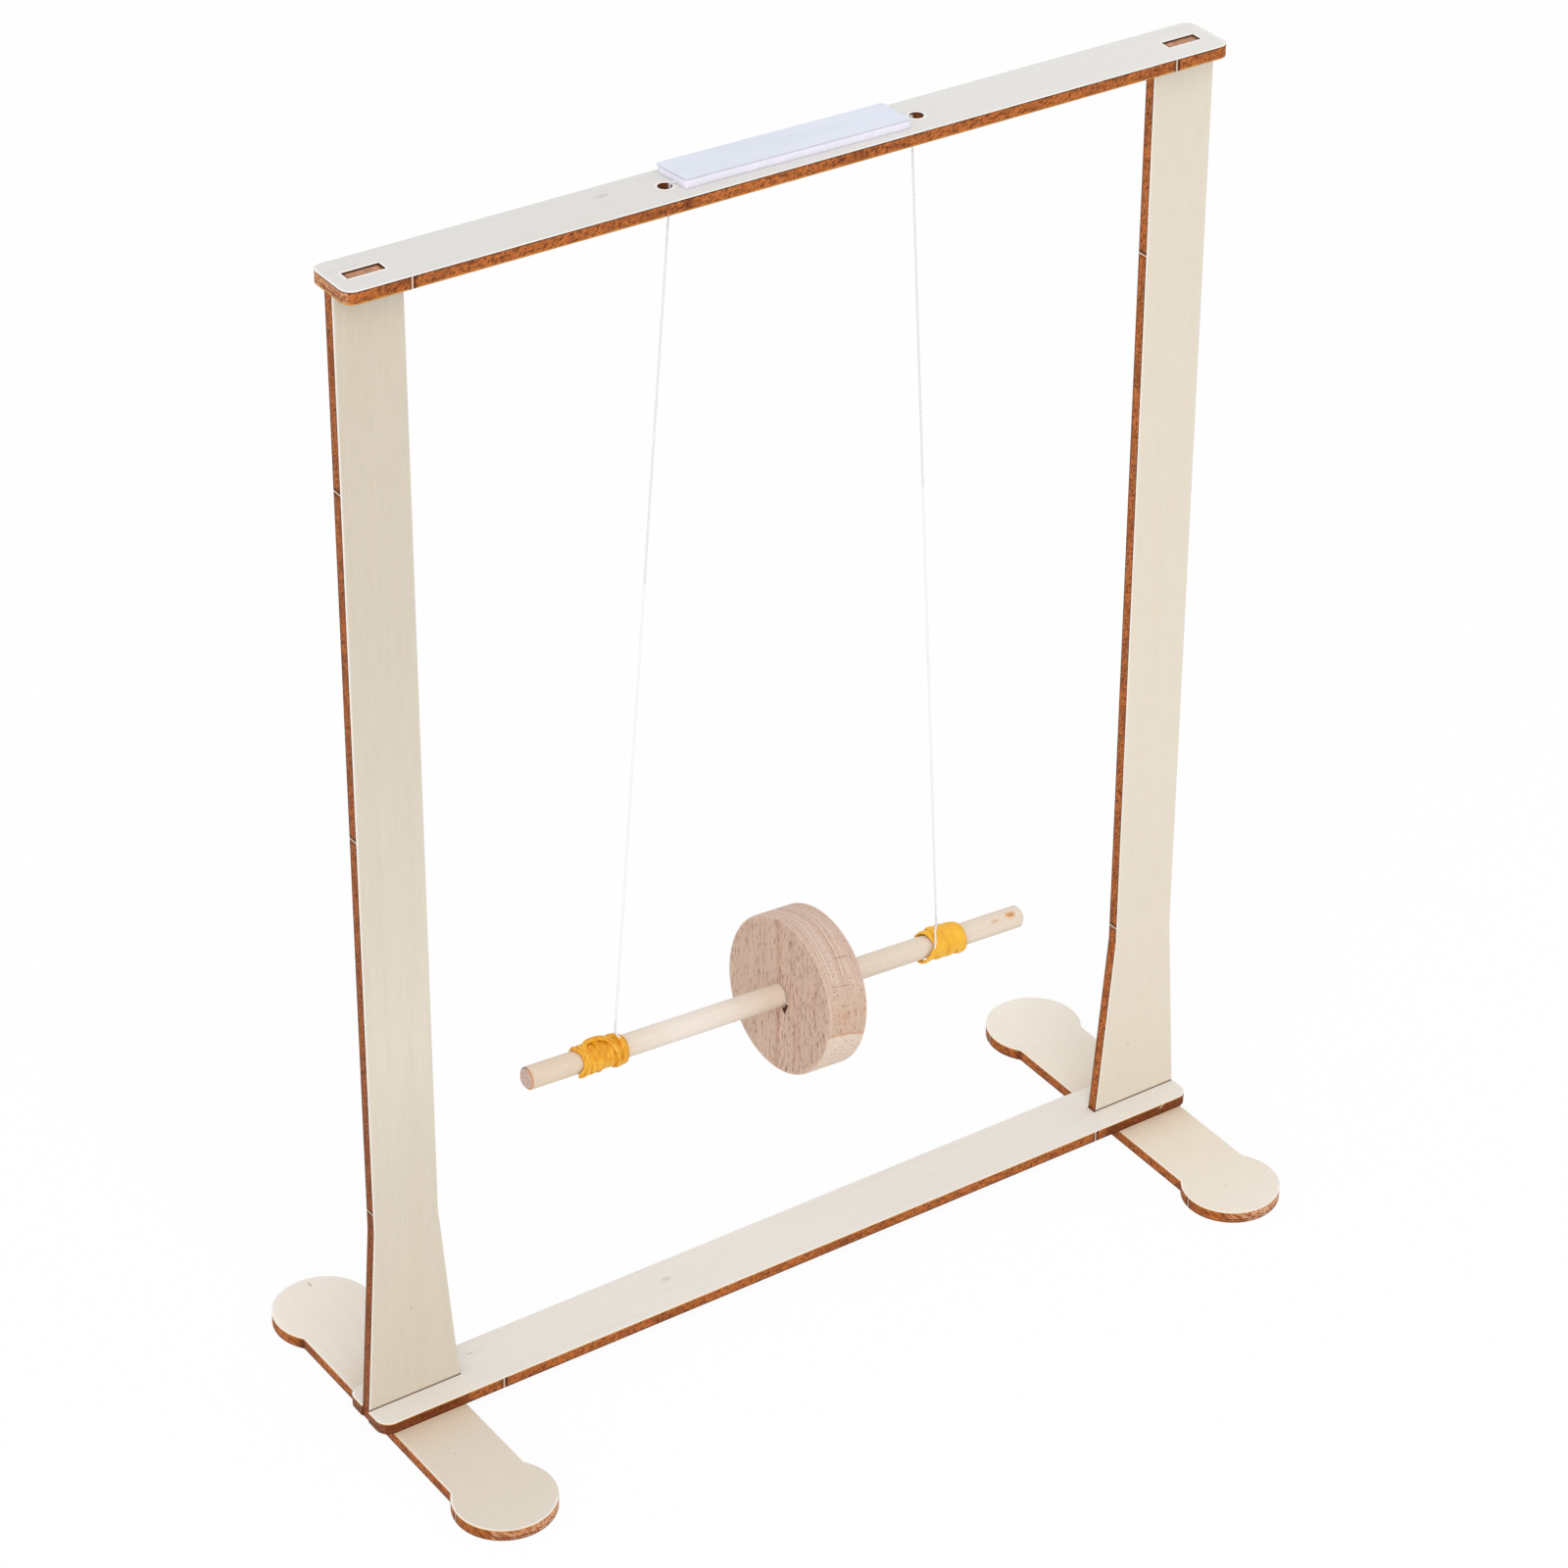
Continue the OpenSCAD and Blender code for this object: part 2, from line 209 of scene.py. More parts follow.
class Bench:
    """Lays nodes in one tree. A feed is a socket or a plain value. A colour of three values is painted."""

    def __init__(self, tree):
        self.tree = tree

    def feed(self, socket, value):
        if isinstance(value, bpy.types.NodeSocket):
            self.tree.links.new(value, socket)
        elif socket.type == "RGBA" and len(value) == 3:
            socket.default_value = paint(value)
        else:
            socket.default_value = value

    def node(self, kind, feeds=None, **settings):
        made = self.tree.nodes.new(kind)
        for key, value in settings.items():
            setattr(made, key, value)
        for key, value in (feeds or {}).items():
            self.feed(made.inputs[key], value)
        return made

    def use(self, name, **feeds):
        """Places a node group. Its inputs' names are written with underscores."""
        spaced = {key.replace("_", " "): value for key, value in feeds.items()}
        return self.node("ShaderNodeGroup", spaced, node_tree=bpy.data.node_groups[name]).outputs

    def math(self, operation, a, b=0.0, clamp=False):
        made = self.node("ShaderNodeMath", operation=operation, use_clamp=clamp)
        self.feed(made.inputs[0], a)
        self.feed(made.inputs[1], b)
        return made.outputs[0]

    def times(self, a, *others):
        for other in others:
            a = self.math("MULTIPLY", a, other)
        return a

    def ratio(self, a, b):
        return self.math("DIVIDE", a, b)

    def plus(self, a, b):
        return self.math("ADD", a, b)

    def minus(self, a, b):
        return self.math("SUBTRACT", a, b)

    def most(self, a, b):
        return self.math("MAXIMUM", a, b)

    def under(self, a, limit):
        return self.math("LESS_THAN", a, limit)

    def over(self, a, limit):
        return self.math("GREATER_THAN", a, limit)

    def unsigned(self, a):
        return self.math("ABSOLUTE", a)

    def apart(self, a, b):
        return self.unsigned(self.minus(a, b))

    def vector(self, operation, a, b=(0.0, 0.0, 0.0)):
        made = self.node("ShaderNodeVectorMath", operation=operation)
        self.feed(made.inputs[0], a)
        self.feed(made.inputs[1], b)
        return made.outputs["Value" if operation in ("DOT_PRODUCT", "LENGTH") else "Vector"]

    def stretch(self, vector, factors):
        return self.vector("MULTIPLY", vector, factors)

    def length(self, vector):
        return self.vector("LENGTH", vector)

    def split(self, vector):
        return self.node("ShaderNodeSeparateXYZ", {"Vector": vector}).outputs

    def join(self, x, y, z):
        return self.node("ShaderNodeCombineXYZ", {"X": x, "Y": y, "Z": z}).outputs[0]

    def mix(self, factor, a, b, blend="MIX"):
        made = self.node("ShaderNodeMix", data_type="RGBA", blend_type=blend)
        self.feed(made.inputs["Factor"], factor)
        self.feed(made.inputs[6], a)
        self.feed(made.inputs[7], b)
        return made.outputs[2]

    def shade(self, colour, value, strength):
        """The colour, lighter where value is above 0 and darker where it is below."""
        grey = self.plus(self.times(value, strength), 1.0)
        return self.mix(1.0, colour, self.join(grey, grey, grey), "MULTIPLY")

    def noise(self, vector, scale=1.0, detail=2.0, roughness=0.5, distortion=0.0):
        """Soft patches, from 0 to 1. Three scales stretch them along the three axes."""
        if isinstance(scale, tuple):
            vector, scale = self.stretch(vector, scale), 1.0
        feeds = {"Vector": vector, "Scale": scale, "Detail": detail, "Roughness": roughness}
        return self.node("ShaderNodeTexNoise", {**feeds, "Distortion": distortion}).outputs["Fac"]

    def between(self, value, low, high, to_low=0.0, to_high=1.0, smooth=True):
        """How far value has come from low to high."""
        feeds = {"Value": value, "From Min": low, "From Max": high, "To Min": to_low, "To Max": to_high}
        kind = "SMOOTHSTEP" if smooth else "LINEAR"
        return self.node("ShaderNodeMapRange", feeds, interpolation_type=kind).outputs["Result"]

    def near(self, value, middle, reach):
        """1 where value is at middle, falling to 0 at reach from it."""
        return self.between(self.apart(value, middle), 0.0, reach, 1.0, 0.0)

    def ramp(self, value, stops):
        made = self.node("ShaderNodeValToRGB", {"Fac": value})
        ends = made.color_ramp.elements
        while len(ends) < len(stops):
            ends.new(0.5)
        for end, (place, colour) in zip(ends, stops):
            end.position = place
            end.color = paint(colour)
        return made.outputs["Color"]

    def bump(self, height, strength, distance, **normal):
        """A normal from a height, whose distance is in millimetres."""
        feeds = {"Height": height, "Strength": strength, "Distance": distance * MM, **normal}
        return self.node("ShaderNodeBump", feeds).outputs[0]

    def object_place(self):
        return self.node("ShaderNodeTexCoord").outputs["Object"]

    def backdrop_rays(self):
        """1 for the rays that show the background: straight ones, mirrored ones and those through glass."""
        ray = self.node("ShaderNodeLightPath").outputs
        return self.most(ray["Is Camera Ray"], self.most(ray["Is Glossy Ray"], ray["Is Transmission Ray"]))


def new_material(name):
    """A material with nothing but its output, and its bench."""
    made = bpy.data.materials.new(name)
    made.use_nodes = True
    tree = made.node_tree
    tree.nodes.clear()
    return made, Bench(tree), tree.nodes.new("ShaderNodeOutputMaterial").inputs["Surface"]


def finish_surface(b, surface, colour, roughness, normal, **plain):
    """A shader, with its plain numbers set on its own sockets."""
    feeds = {"Base Color": colour, "Roughness": roughness, "Normal": normal}
    feeds.update((key.replace("_", " "), value) for key, value in plain.items())
    b.feed(surface, b.node("ShaderNodeBsdfPrincipled", feeds).outputs[0])


# Effects that several materials share. Their vectors are in millimetres: along, across and through the wood.

FLOAT, VECTOR, COLOUR = "NodeSocketFloat", "NodeSocketVector", "NodeSocketColor"


def new_group(name, inputs, outputs):
    """An empty shader node group: its bench, what comes in and where the results go."""
    tree = bpy.data.node_groups.new(name, "ShaderNodeTree")
    for label, kind, default in inputs:
        tree.interface.new_socket(label, in_out="INPUT", socket_type=kind).default_value = default
    for label, kind in outputs:
        tree.interface.new_socket(label, in_out="OUTPUT", socket_type=kind)
    inside = tree.nodes.new("NodeGroupInput").outputs
    results = tree.nodes.new("NodeGroupOutput").inputs
    return Bench(tree), inside, results


def lengthwise_grain():
    """Long fibres, broad bands and soft clouds, each about 0, and the height of the fibres."""
    b, given, out = new_group(
        "lengthwise grain",
        [
            ("Vector", VECTOR, (0, 0, 0)),
            ("Fibre Width", FLOAT, 0.25),
            ("Band Width", FLOAT, 3.0),
            ("Seed", FLOAT, 0.0),
        ],
        [("Fibre", FLOAT), ("Band", FLOAT), ("Cloud", FLOAT), ("Height", FLOAT)],
    )
    seed = b.join(given["Seed"], given["Seed"], given["Seed"])
    spot = b.vector("ADD", given["Vector"], seed)
    axis = b.split(spot)
    wander = b.times(b.noise(b.join(b.times(axis[0], 0.03), 0.0, 0.0), 1.0, 1.0), 1.5)
    across = b.plus(axis[1], wander)

    def strands(shrink, width, *detail):
        """Noise drawn out along the wood, in strands of a given width."""
        drawn = b.join(b.times(axis[0], shrink), b.ratio(across, width), b.ratio(axis[2], width))
        return b.noise(drawn, 1.0, *detail)

    fibre = strands(0.12, given["Fibre Width"], 3.0, 0.6)
    band = strands(0.012, given["Band Width"])
    cloud = b.noise(spot, (0.02, 0.08, 0.08))
    for label, value in (("Fibre", fibre), ("Band", band), ("Cloud", cloud)):
        b.feed(out[label], b.minus(value, 0.5))
    b.feed(out["Height"], b.plus(fibre, b.times(band, 0.5)))


def scorched_edge():
    """A laser-cut edge: leaning brown streaks, two lines along it, and darker or thinner scorch."""
    b, given, out = new_group(
        "scorched edge",
        [
            ("Vector", VECTOR, (0, 0, 0)),
            ("Brown", COLOUR, (0.3, 0.12, 0.04, 1)),
            ("Char", COLOUR, (0.1, 0.03, 0.01, 1)),
            ("Amber", COLOUR, (0.7, 0.4, 0.1, 1)),
            ("Bare", COLOUR, (0.8, 0.7, 0.5, 1)),
            ("Upper", COLOUR, (0.1, 0.03, 0.01, 1)),
            ("Lower", COLOUR, (0.7, 0.4, 0.1, 1)),
            ("End", FLOAT, 0.0),
            ("Dark", FLOAT, 0.0),
            ("Pale", FLOAT, 0.0),
        ],
        [("Color", COLOUR), ("Height", FLOAT)],
    )
    axis = b.split(given["Vector"])
    depth = b.ratio(axis[2], PLATE_THICK)
    lean = b.times(axis[2], -0.9)
    streaky = b.join(
        b.times(b.plus(axis[0], lean), 1.5),
        b.times(b.plus(axis[1], lean), 1.5),
        b.times(axis[2], 0.3),
    )
    streak = b.noise(streaky, 1.0, 3.0, 0.62, 0.15)
    hair = b.noise(streaky, (3.0, 3.0, 0.8), 2.0, 0.6)
    cloud = b.noise(given["Vector"], (0.11, 0.11, 0.3))
    deep = b.mix(1.0, given["Char"], (0.45, 0.4, 0.38, 1), "MULTIPLY")
    base = b.mix(b.between(streak, 0.38, 0.56), given["Char"], given["Brown"])
    base = b.mix(b.times(b.between(hair, 0.5, 0.72), 0.5), base, given["Amber"])
    base = b.mix(b.times(b.between(cloud, 0.48, 0.7), 0.4), base, given["Char"])
    tan = b.mix(b.between(streak, 0.4, 0.6), given["Brown"], given["Bare"])
    base = b.mix(b.times(given["Pale"], 0.8), base, tan)
    base = b.mix(b.times(given["End"], 0.4), base, tan)
    base = b.mix(b.times(given["Dark"], 0.7), base, b.mix(streak, deep, given["Char"]))
    glue = b.times(b.near(b.plus(depth, b.times(cloud, 0.06)), 0.35, 0.09), given["End"])
    base = b.mix(b.times(glue, 0.7), base, deep)
    patchy = b.between(cloud, 0.3, 0.55, 0.35, 0.9)
    base = b.mix(b.times(b.between(depth, 0.87, 0.96), patchy), base, given["Upper"])
    base = b.mix(b.times(b.between(depth, 0.15, 0.05), 0.7), base, given["Lower"])
    b.feed(out["Color"], base)
    b.feed(out["Height"], b.plus(streak, b.times(hair, 0.5)))


def snapped_tab():
    """The thin torn line of a tab that held a plate in its sheet, and the darker scorch beside it."""
    b, given, out = new_group(
        "snapped tab",
        [("Value", FLOAT, 0.0), ("Place", FLOAT, 0.0), ("Width", FLOAT, 0.3)],
        [("Torn", FLOAT), ("Burnt", FLOAT)],
    )
    off = b.minus(given["Value"], given["Place"])
    width = given["Width"]
    b.feed(out["Torn"], b.between(b.unsigned(off), b.times(width, 0.4), width, 1, 0))
    beside = b.apart(b.unsigned(off), b.times(width, 2.2))
    both = b.between(beside, width, b.times(width, 2.2), 1, 0)
    b.feed(out["Burnt"], b.times(both, b.between(off, b.times(width, -3.0), 0.0, 0.45, 1.0)))


def eased_corner():
    """The rims of a form, which of them turn to the back or the right, and normals that soften its edges."""
    b, given, out = new_group(
        "eased corner",
        [("Radius", FLOAT, 0.0003)],
        [("Rim", FLOAT), ("Behind", FLOAT), ("Normal", VECTOR)],
    )
    wide = b.node("ShaderNodeBevel", {"Radius": given["Radius"]}, samples=8).outputs[0]
    tight = b.node("ShaderNodeBevel", {"Radius": b.times(given["Radius"], 0.35)}, samples=6).outputs[0]
    flat = b.node("ShaderNodeNewGeometry").outputs["Normal"]
    b.feed(out["Rim"], b.between(b.vector("DOT_PRODUCT", wide, flat), 0.9995, 0.98))
    backward = b.vector("DOT_PRODUCT", b.vector("SUBTRACT", wide, flat), (0.6, 0.8, 0.0))
    b.feed(out["Behind"], b.between(backward, 0.0, 0.01))
    b.feed(out["Normal"], tight)


def make_groups():
    for make in (lengthwise_grain, scorched_edge, snapped_tab, eased_corner):
        make()


# Plywood

PLATE_THICK = 3.0

# How a plate's own axes, along, across and through, are turned out of the frame's
ALONG_X = Matrix(((1, 0, 0), (0, 1, 0), (0, 0, 1)))
ALONG_Y = Matrix(((0, 1, 0), (-1, 0, 0), (0, 0, 1)))
ALONG_Z = Matrix(((0, 0, 1), (-1, 0, 0), (0, -1, 0)))

# What both uprights and both feet have in common
UPRIGHT = {"turn": ALONG_Z, "offset": (0, 0, PLATE_THICK / 2), "ends": (0, BEAM_TOP)}
FOOT = {
    "turn": ALONG_Y,
    "offset": (0, 0, 0),
    "ends": (-56.05, 56.05),
    "burns": [(-37.2, -33.8), (33.8, 37.2)],
}

# Each plate: its axes, where its lower or back face lies, how strong its grain shows, where it ends, how its
# colour changes from end to end, where it was snapped from its sheet (along), darker stretches of its edge
# (from and to, along), and marks on its face (along, across, half length, half width, strength)
PLATES = {
    "top_beam": {
        "turn": ALONG_X,
        "offset": (0, 0, -BEAM_UNDER),
        "grain": 0.1,
        "ends": (-119, 119),
        "tones": [(0, 0.985), (0.4, 0.99), (0.7, 1.01), (1, 1.02)],
        "tabs": [-102.9, 102.9],
        "burns": [(-35.4, -30.8), (13.2, 13.8)],
        "marks": [(-48.3, 3.3, 2.2, 0.9, 0.3)],
        "seed": 3,
    },
    "base_beam": {
        "turn": ALONG_X,
        "offset": (0, 0, -PLATE_THICK),
        "grain": 0.12,
        "ends": (-122.8, 122.8),
        "tones": [(0, 1.0), (0.15, 1.0), (0.5, 1.01), (1, 1.01)],
        "tabs": [-88.9, 91.8],
        "burns": [(-130, -97.5), (94, 130)],
        "marks": [(-35, 2, 2.0, 1.0, 0.3), (-90.8, 4.1, 1.5, 0.22, 0.7), (-88.4, 3.4, 1.2, 0.15, 0.4)],
        "seed": 41,
    },
    "left_upright": {
        **UPRIGHT,
        "grain": 0.17,
        "tones": [
            (0, (1.0, 1.0, 0.995)),
            (0.2, 1.0),
            (0.35, (1.03, 1.04, 1.045)),
            (0.7, 0.98),
            (1, (0.965, 0.96, 0.95)),
        ],
        "tabs": [258.4, 168.4, 63.6],
        "marks": [(32.1, 109.8, 0.4, 0.4, 0.5)],
        "seed": 77,
    },
    "right_upright": {
        **UPRIGHT,
        "grain": 0.15,
        "tones": [(0, 0.99), (0.2, 1.0), (0.35, 1.0), (0.7, 0.99), (1, 0.975)],
        "tabs": [256.3, 62.3],
        "burns": [(0, 7.5)],
        "marks": [(23.6, -107.1, 0.5, 0.4, 0.6)],
        "seed": 120,
    },
    "left_foot": {
        **FOOT,
        "grain": 0.13,
        # Darker at its middle, and painted lighter towards its back against the shade that its upright casts
        # there
        "tones": [
            (0, (0.99, 1.005, 1.015)),
            (0.35, 0.975),
            (0.55, 0.985),
            (0.72, (1.04, 1.06, 1.085)),
            (1, (1.073, 1.099, 1.136)),
        ],
        "tabs": [-41.9],
        "marks": [(53.5, 107.95, 1.3, 0.35, 0.8), (-23.5, 111.6, 0.35, 0.5, 0.45)],
        "seed": 160,
    },
    "right_foot": {
        **FOOT,
        "grain": 0.11,
        # Painted lighter towards its back against the shade that its upright casts there
        "tones": [
            (0, (1.023, 1.033, 1.049)),
            (0.3, (1.0, 1.0, 0.99)),
            (0.6, 1.0),
            (1, (1.052, 1.072, 1.09)),
        ],
        "tabs": [-41.9, 46.0],
        "marks": [(-43.4, -108.3, 0.35, 0.5, 0.4)],
        "seed": 201,
    },
}

# Where the scorch on a foot's round front end thins out to bare tan: from and to along X, in front of a line
FOOT_PALES = {"left_foot": (-113.0, -103.0), "right_foot": (104.0, 114.0)}
PALE_FRONT = -40.0

# Where the plates meet, in the frame's own millimetres
UPRIGHT_MIDDLE = 110.25
UPRIGHT_INNER = 97.1
UPRIGHT_FRONT = -1.75
BASE_TOP = 6.0
BASE_FRONT = -8.75
TENON_SHOWS = 309.0

# The top beam's slots and holes lie within these distances of its middle
OPENINGS_LONG = 117.0
OPENINGS_WIDE = 6.0

# A leaning torn line on the front of the base beam: where it crosses the lower face, and how far it leans
NICK_PLACE = 111.25
NICK_LEAN = 1.05


class PlateBench(Bench):
    """A bench for one plate, with its places in millimetres: its own axes, and the frame's."""

    def __init__(self, tree, plate):
        super().__init__(tree)
        coords = self.node("ShaderNodeTexCoord").outputs
        own = {
            "Vector": coords["Object"],
            "Rotation": plate["turn"].to_euler(),
            "Location": plate["offset"],
            "Scale": TO_MM,
        }
        self.board = self.node("ShaderNodeMapping", own).outputs[0]
        self.axis = self.split(self.board)
        self.whole = self.stretch(coords["Object"], TO_MM)
        self.place = self.split(self.whole)
        self.sideways = self.unsigned(self.place[0])
        along, _, through = plate["turn"]
        self.is_face = self.faces(coords["Normal"], through)
        self.is_end = self.faces(coords["Normal"], along)

    def faces(self, normal, direction):
        """1 where the surface faces along a direction, either way."""
        return self.over(self.unsigned(self.vector("DOT_PRODUCT", normal, tuple(direction))), 0.7)


def plate_face(b, plate, face, grain, look):
    """Bare wood: its tone from end to end, its bands, fibres and pores, and a few small marks."""
    ground = b.ramp(
        b.between(b.axis[0], *plate["ends"], smooth=False),
        [(place, shaded(face, factor)) for place, factor in plate["tones"]],
    )
    warm = b.math("MULTIPLY", grain["Band"], 0.6, clamp=True)
    ground = b.mix(warm, ground, shaded(face, (0.95, 0.91, 0.86)))
    cool = b.math("MULTIPLY", grain["Cloud"], 0.3, clamp=True)
    ground = b.mix(cool, ground, shaded(face, (0.97, 0.985, 1.03)))
    ground = b.shade(ground, grain["Fibre"], plate["grain"])
    pores = b.between(b.noise(b.board, (0.5, 4.0, 4.0)), 0.62, 0.74)
    ground = b.mix(b.times(pores, plate["grain"] * 1.6), ground, shaded(face, 0.8))
    for along, across, long, wide, strength in plate["marks"]:
        off = b.vector("SUBTRACT", b.board, (along, across, 0.0))
        off = b.length(b.stretch(off, (1 / long, 1 / wide, 0.0)))
        ground = b.mix(b.times(b.between(off, 0.3, 1.1, 1, 0), strength), ground, look.mark)
    return ground


def painted_rim_glint(b, name, ground, corner, look):
    """A painted highlight along the rims. It shows most at the front and left, and round the slots and
    holes.
    """
    outer = b.over(b.unsigned(b.place[1]), OPENINGS_WIDE) if name == "top_beam" else 1.0
    strength = b.minus(0.85, b.times(corner["Behind"], outer, 0.75))
    return b.mix(b.times(corner["Rim"], strength), ground, look.bare)


def meeting_lines(b, name, ground, look):
    """Lines where one plate stands on another, with a painted highlight on the base beam in front of the
    uprights and painted shade on the feet in front of the base beam.
    """
    if name.endswith("upright"):
        seam = b.times(b.between(b.place[2], BASE_TOP + 0.7, BASE_TOP + 0.2), 0.9)
        return b.mix(seam, ground, look.seam)
    if name == "base_beam":
        # A painted highlight along the foot of each upright's front face
        lit = b.times(b.near(b.place[1], UPRIGHT_FRONT, 0.4), b.over(b.sideways, UPRIGHT_INNER))
        return b.mix(lit, ground, look.bare)
    if name.endswith("foot"):
        # The feet grow warmer and darker towards the base beam's front: painted shade
        beam_shade = b.times(b.between(b.place[1], BASE_FRONT - 13, BASE_FRONT), b.under(b.place[1], 0.0))
        ground = b.mix(b.times(beam_shade, 0.5), ground, look.beam_shade)
        return b.mix(b.times(b.near(b.place[1], BASE_FRONT - 0.2, 0.8), 0.7), ground, look.bare_edge)
    return ground


def darker_stretches(b, name, plate):
    """Where an edge is darker, from 0 to 1: stretches the laser scorched more, and on the upper beam the
    walls of its slots and holes, whose darkness is painted shade. The left upright darkens towards its foot.
    """
    if name == "left_upright":
        return b.between(b.axis[0], 300.0, 0.0, 0.22, 0.62)
    dark = 0.0
    for start, stop in plate["burns"]:
        reach = (stop - start) / 2
        off = b.apart(b.axis[0], (start + stop) / 2)
        dark = b.most(dark, b.between(off, max(reach - 2.5, 0), reach, 1, 0))
    # Painted shade on the walls of the upper beam's slots and holes
    if name == "top_beam":
        wall_shade = b.times(b.under(b.unsigned(b.place[1]), OPENINGS_WIDE), b.under(b.sideways, OPENINGS_LONG))
        dark = b.most(dark, wall_shade)
    return dark


def tenon_top(b, look):
    """The upper end of an upright, as it shows through the upper beam, with painted shade at its ends and
    along its long sides where it sits in the slot.
    """
    streak = b.noise(b.whole, (0.5, 3.2, 0.0))
    top = b.mix(b.between(streak, 0.42, 0.6), look.tenon, shaded(look.tenon, 1.25))
    # Painted shade at the ends of the tenon's top
    far = b.between(b.apart(b.sideways, UPRIGHT_MIDDLE), 3.6, 4.2)
    top = b.mix(b.times(far, 0.6), top, look.char)
    # Painted shade along its long sides
    rim = b.between(b.unsigned(b.place[1]), 0.85, 1.35)
    return b.mix(b.times(rim, 0.75), top, shaded(look.char, 0.6))


def plate_edge(b, name, plate, look):
    """The colour and the height of the laser-cut edge, with the torn lines of its tabs."""
    dark = darker_stretches(b, name, plate)
    pale = 0.0
    if name in FOOT_PALES:
        pale = b.times(b.between(b.place[0], *FOOT_PALES[name]), b.under(b.place[1], PALE_FRONT))
    burnt = shaded(look.char, 0.6)
    scorch = b.use(
        "scorched edge",
        Vector=b.board,
        Brown=look.edge,
        Char=look.char,
        Amber=look.amber,
        Bare=look.bare_edge,
        Upper=look.amber if name == "base_beam" or name.endswith("foot") else burnt,
        Lower=look.amber if name == "top_beam" else burnt,
        End=b.is_end,
        Dark=dark,
        Pale=pale,
    )
    edge = scorch["Color"]
    for spot in plate["tabs"]:
        tab = b.use("snapped tab", Value=b.axis[0], Place=float(spot), Width=0.26)
        edge = b.mix(b.times(tab["Burnt"], 0.8), edge, shaded(look.char, 0.7))
        edge = b.mix(b.times(tab["Torn"], 0.75), edge, look.torn)
    if name == "base_beam":
        nick = b.near(b.minus(b.axis[0], b.times(b.axis[2], NICK_LEAN)), NICK_PLACE, 0.45)
        nick = b.times(nick, b.between(b.axis[2], 1.6, 1.9), b.under(b.axis[1], 0.0))
        edge = b.mix(b.times(nick, 0.85), edge, look.torn)
    if name.endswith("upright"):
        edge = b.mix(b.over(b.place[2], TENON_SHOWS), edge, tenon_top(b, look))
    return edge, scorch["Height"]


def plywood_material(name, plate, face, look):
    made, b, surface = new_material(f"plywood {name.replace('_', ' ')}")
    b = PlateBench(b.tree, plate)
    seed = float(plate["seed"])
    grain = b.use("lengthwise grain", Vector=b.board, Fibre_Width=0.3, Band_Width=3.0, Seed=seed)
    corner = b.use("eased corner", Radius=look.rim * (1.5 if name == "top_beam" else 1.0))
    ground = plate_face(b, plate, face, grain, look)
    ground = painted_rim_glint(b, name, ground, corner, look)
    ground = meeting_lines(b, name, ground, look)
    edge, edge_height = plate_edge(b, name, plate, look)
    height = b.plus(b.times(grain["Height"], b.is_face), edge_height)
    bump = b.bump(height, 0.22, 0.12, Normal=corner["Normal"])
    rough = b.plus(0.66, b.times(grain["Fibre"], 0.2))
    finish_surface(b, surface, b.mix(b.is_face, edge, ground), rough, bump, Specular_IOR_Level=0.2)
    return made


def dress(node, material):
    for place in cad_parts[node].material_slots:
        place.material = material


class PENDULUM_OT_plywood(bpy.types.Operator):
    """Give the six slotted plates bare wood faces and scorched laser-cut edges"""

    bl_idname = "pendulum.plywood"
    bl_label = "Plywood stand"

    def execute(self, context):
        look = context.scene.pendulum_plywood
        for name, plate in PLATES.items():
            dress(name, plywood_material(name, plate, tuple(getattr(look, name)), look))
        return {"FINISHED"}


# Pieces


def put(name, data):
    """An object in the scene, at the origin."""
    made = bpy.data.objects.new(name, data)
    bpy.context.scene.collection.objects.link(made)
    return made


def add_piece(name, form):
    """A form as an object."""
    shape = bpy.data.meshes.new(name)
    form.to_mesh(shape)
    form.free()
    return put(name, shape)


def closed_piece(name, form, smooth=True):
    """A closed form as an object, with its faces outwards."""
    bmesh.ops.recalc_face_normals(form, faces=form.faces)
    for face in form.faces:
        face.smooth = smooth
    return add_piece(name, form)


def stand_for(piece, node, body, material):
    """Puts a piece in the place of a CAD node, on the body that it moves with."""
    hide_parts(node)
    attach(piece, body)
    piece.data.materials.append(material)


def curve_piece(name, points, section, tilts):
    """A closed-ended strand along points, in metres, as a mesh. The section is given as points too."""
    outline = bpy.data.curves.new(f"{name} section", "CURVE")
    outline.dimensions = "2D"
    ring = outline.splines.new("POLY")
    ring.points.add(len(section) - 1)
    for point, (x, y) in zip(ring.points, section):
        point.co = (x, y, 0, 1)
    ring.use_cyclic_u = True
    helper = put(f"{name} section", outline)

    line = bpy.data.curves.new(name, "CURVE")
    line.dimensions = "3D"
    line.use_fill_caps = True
    line.twist_mode = "MINIMUM"
    line.bevel_mode = "OBJECT"
    line.bevel_object = helper
    spline = line.splines.new("POLY")
    spline.points.add(len(points) - 1)
    for end, point, tilt in zip(spline.points, points, tilts):
        end.co = (*point, 1)
        end.tilt = tilt
    drawn = put(f"{name} line", line)
    shape = bpy.data.meshes.new_from_object(drawn.evaluated_get(bpy.context.evaluated_depsgraph_get()))
    for old in (drawn, helper):
        data = old.data
        bpy.data.objects.remove(old)
        bpy.data.curves.remove(data)
    form = bmesh.new()
    form.from_mesh(shape)
    bpy.data.meshes.remove(shape)
    bmesh.ops.remove_doubles(form, verts=form.verts, dist=1e-7)
    return closed_piece(name, form)


def between_stops(a, b, c, d, parts):
    """Places on a smooth curve from b towards c, which a and d lead into and out of."""
    for k in range(parts):
        t = k / parts
        line = 2 * b + (c - a) * t
        yield 0.5 * (line + (2 * a - 5 * b + 4 * c - d) * t * t + (3 * b - a - 3 * c + d) * t**3)


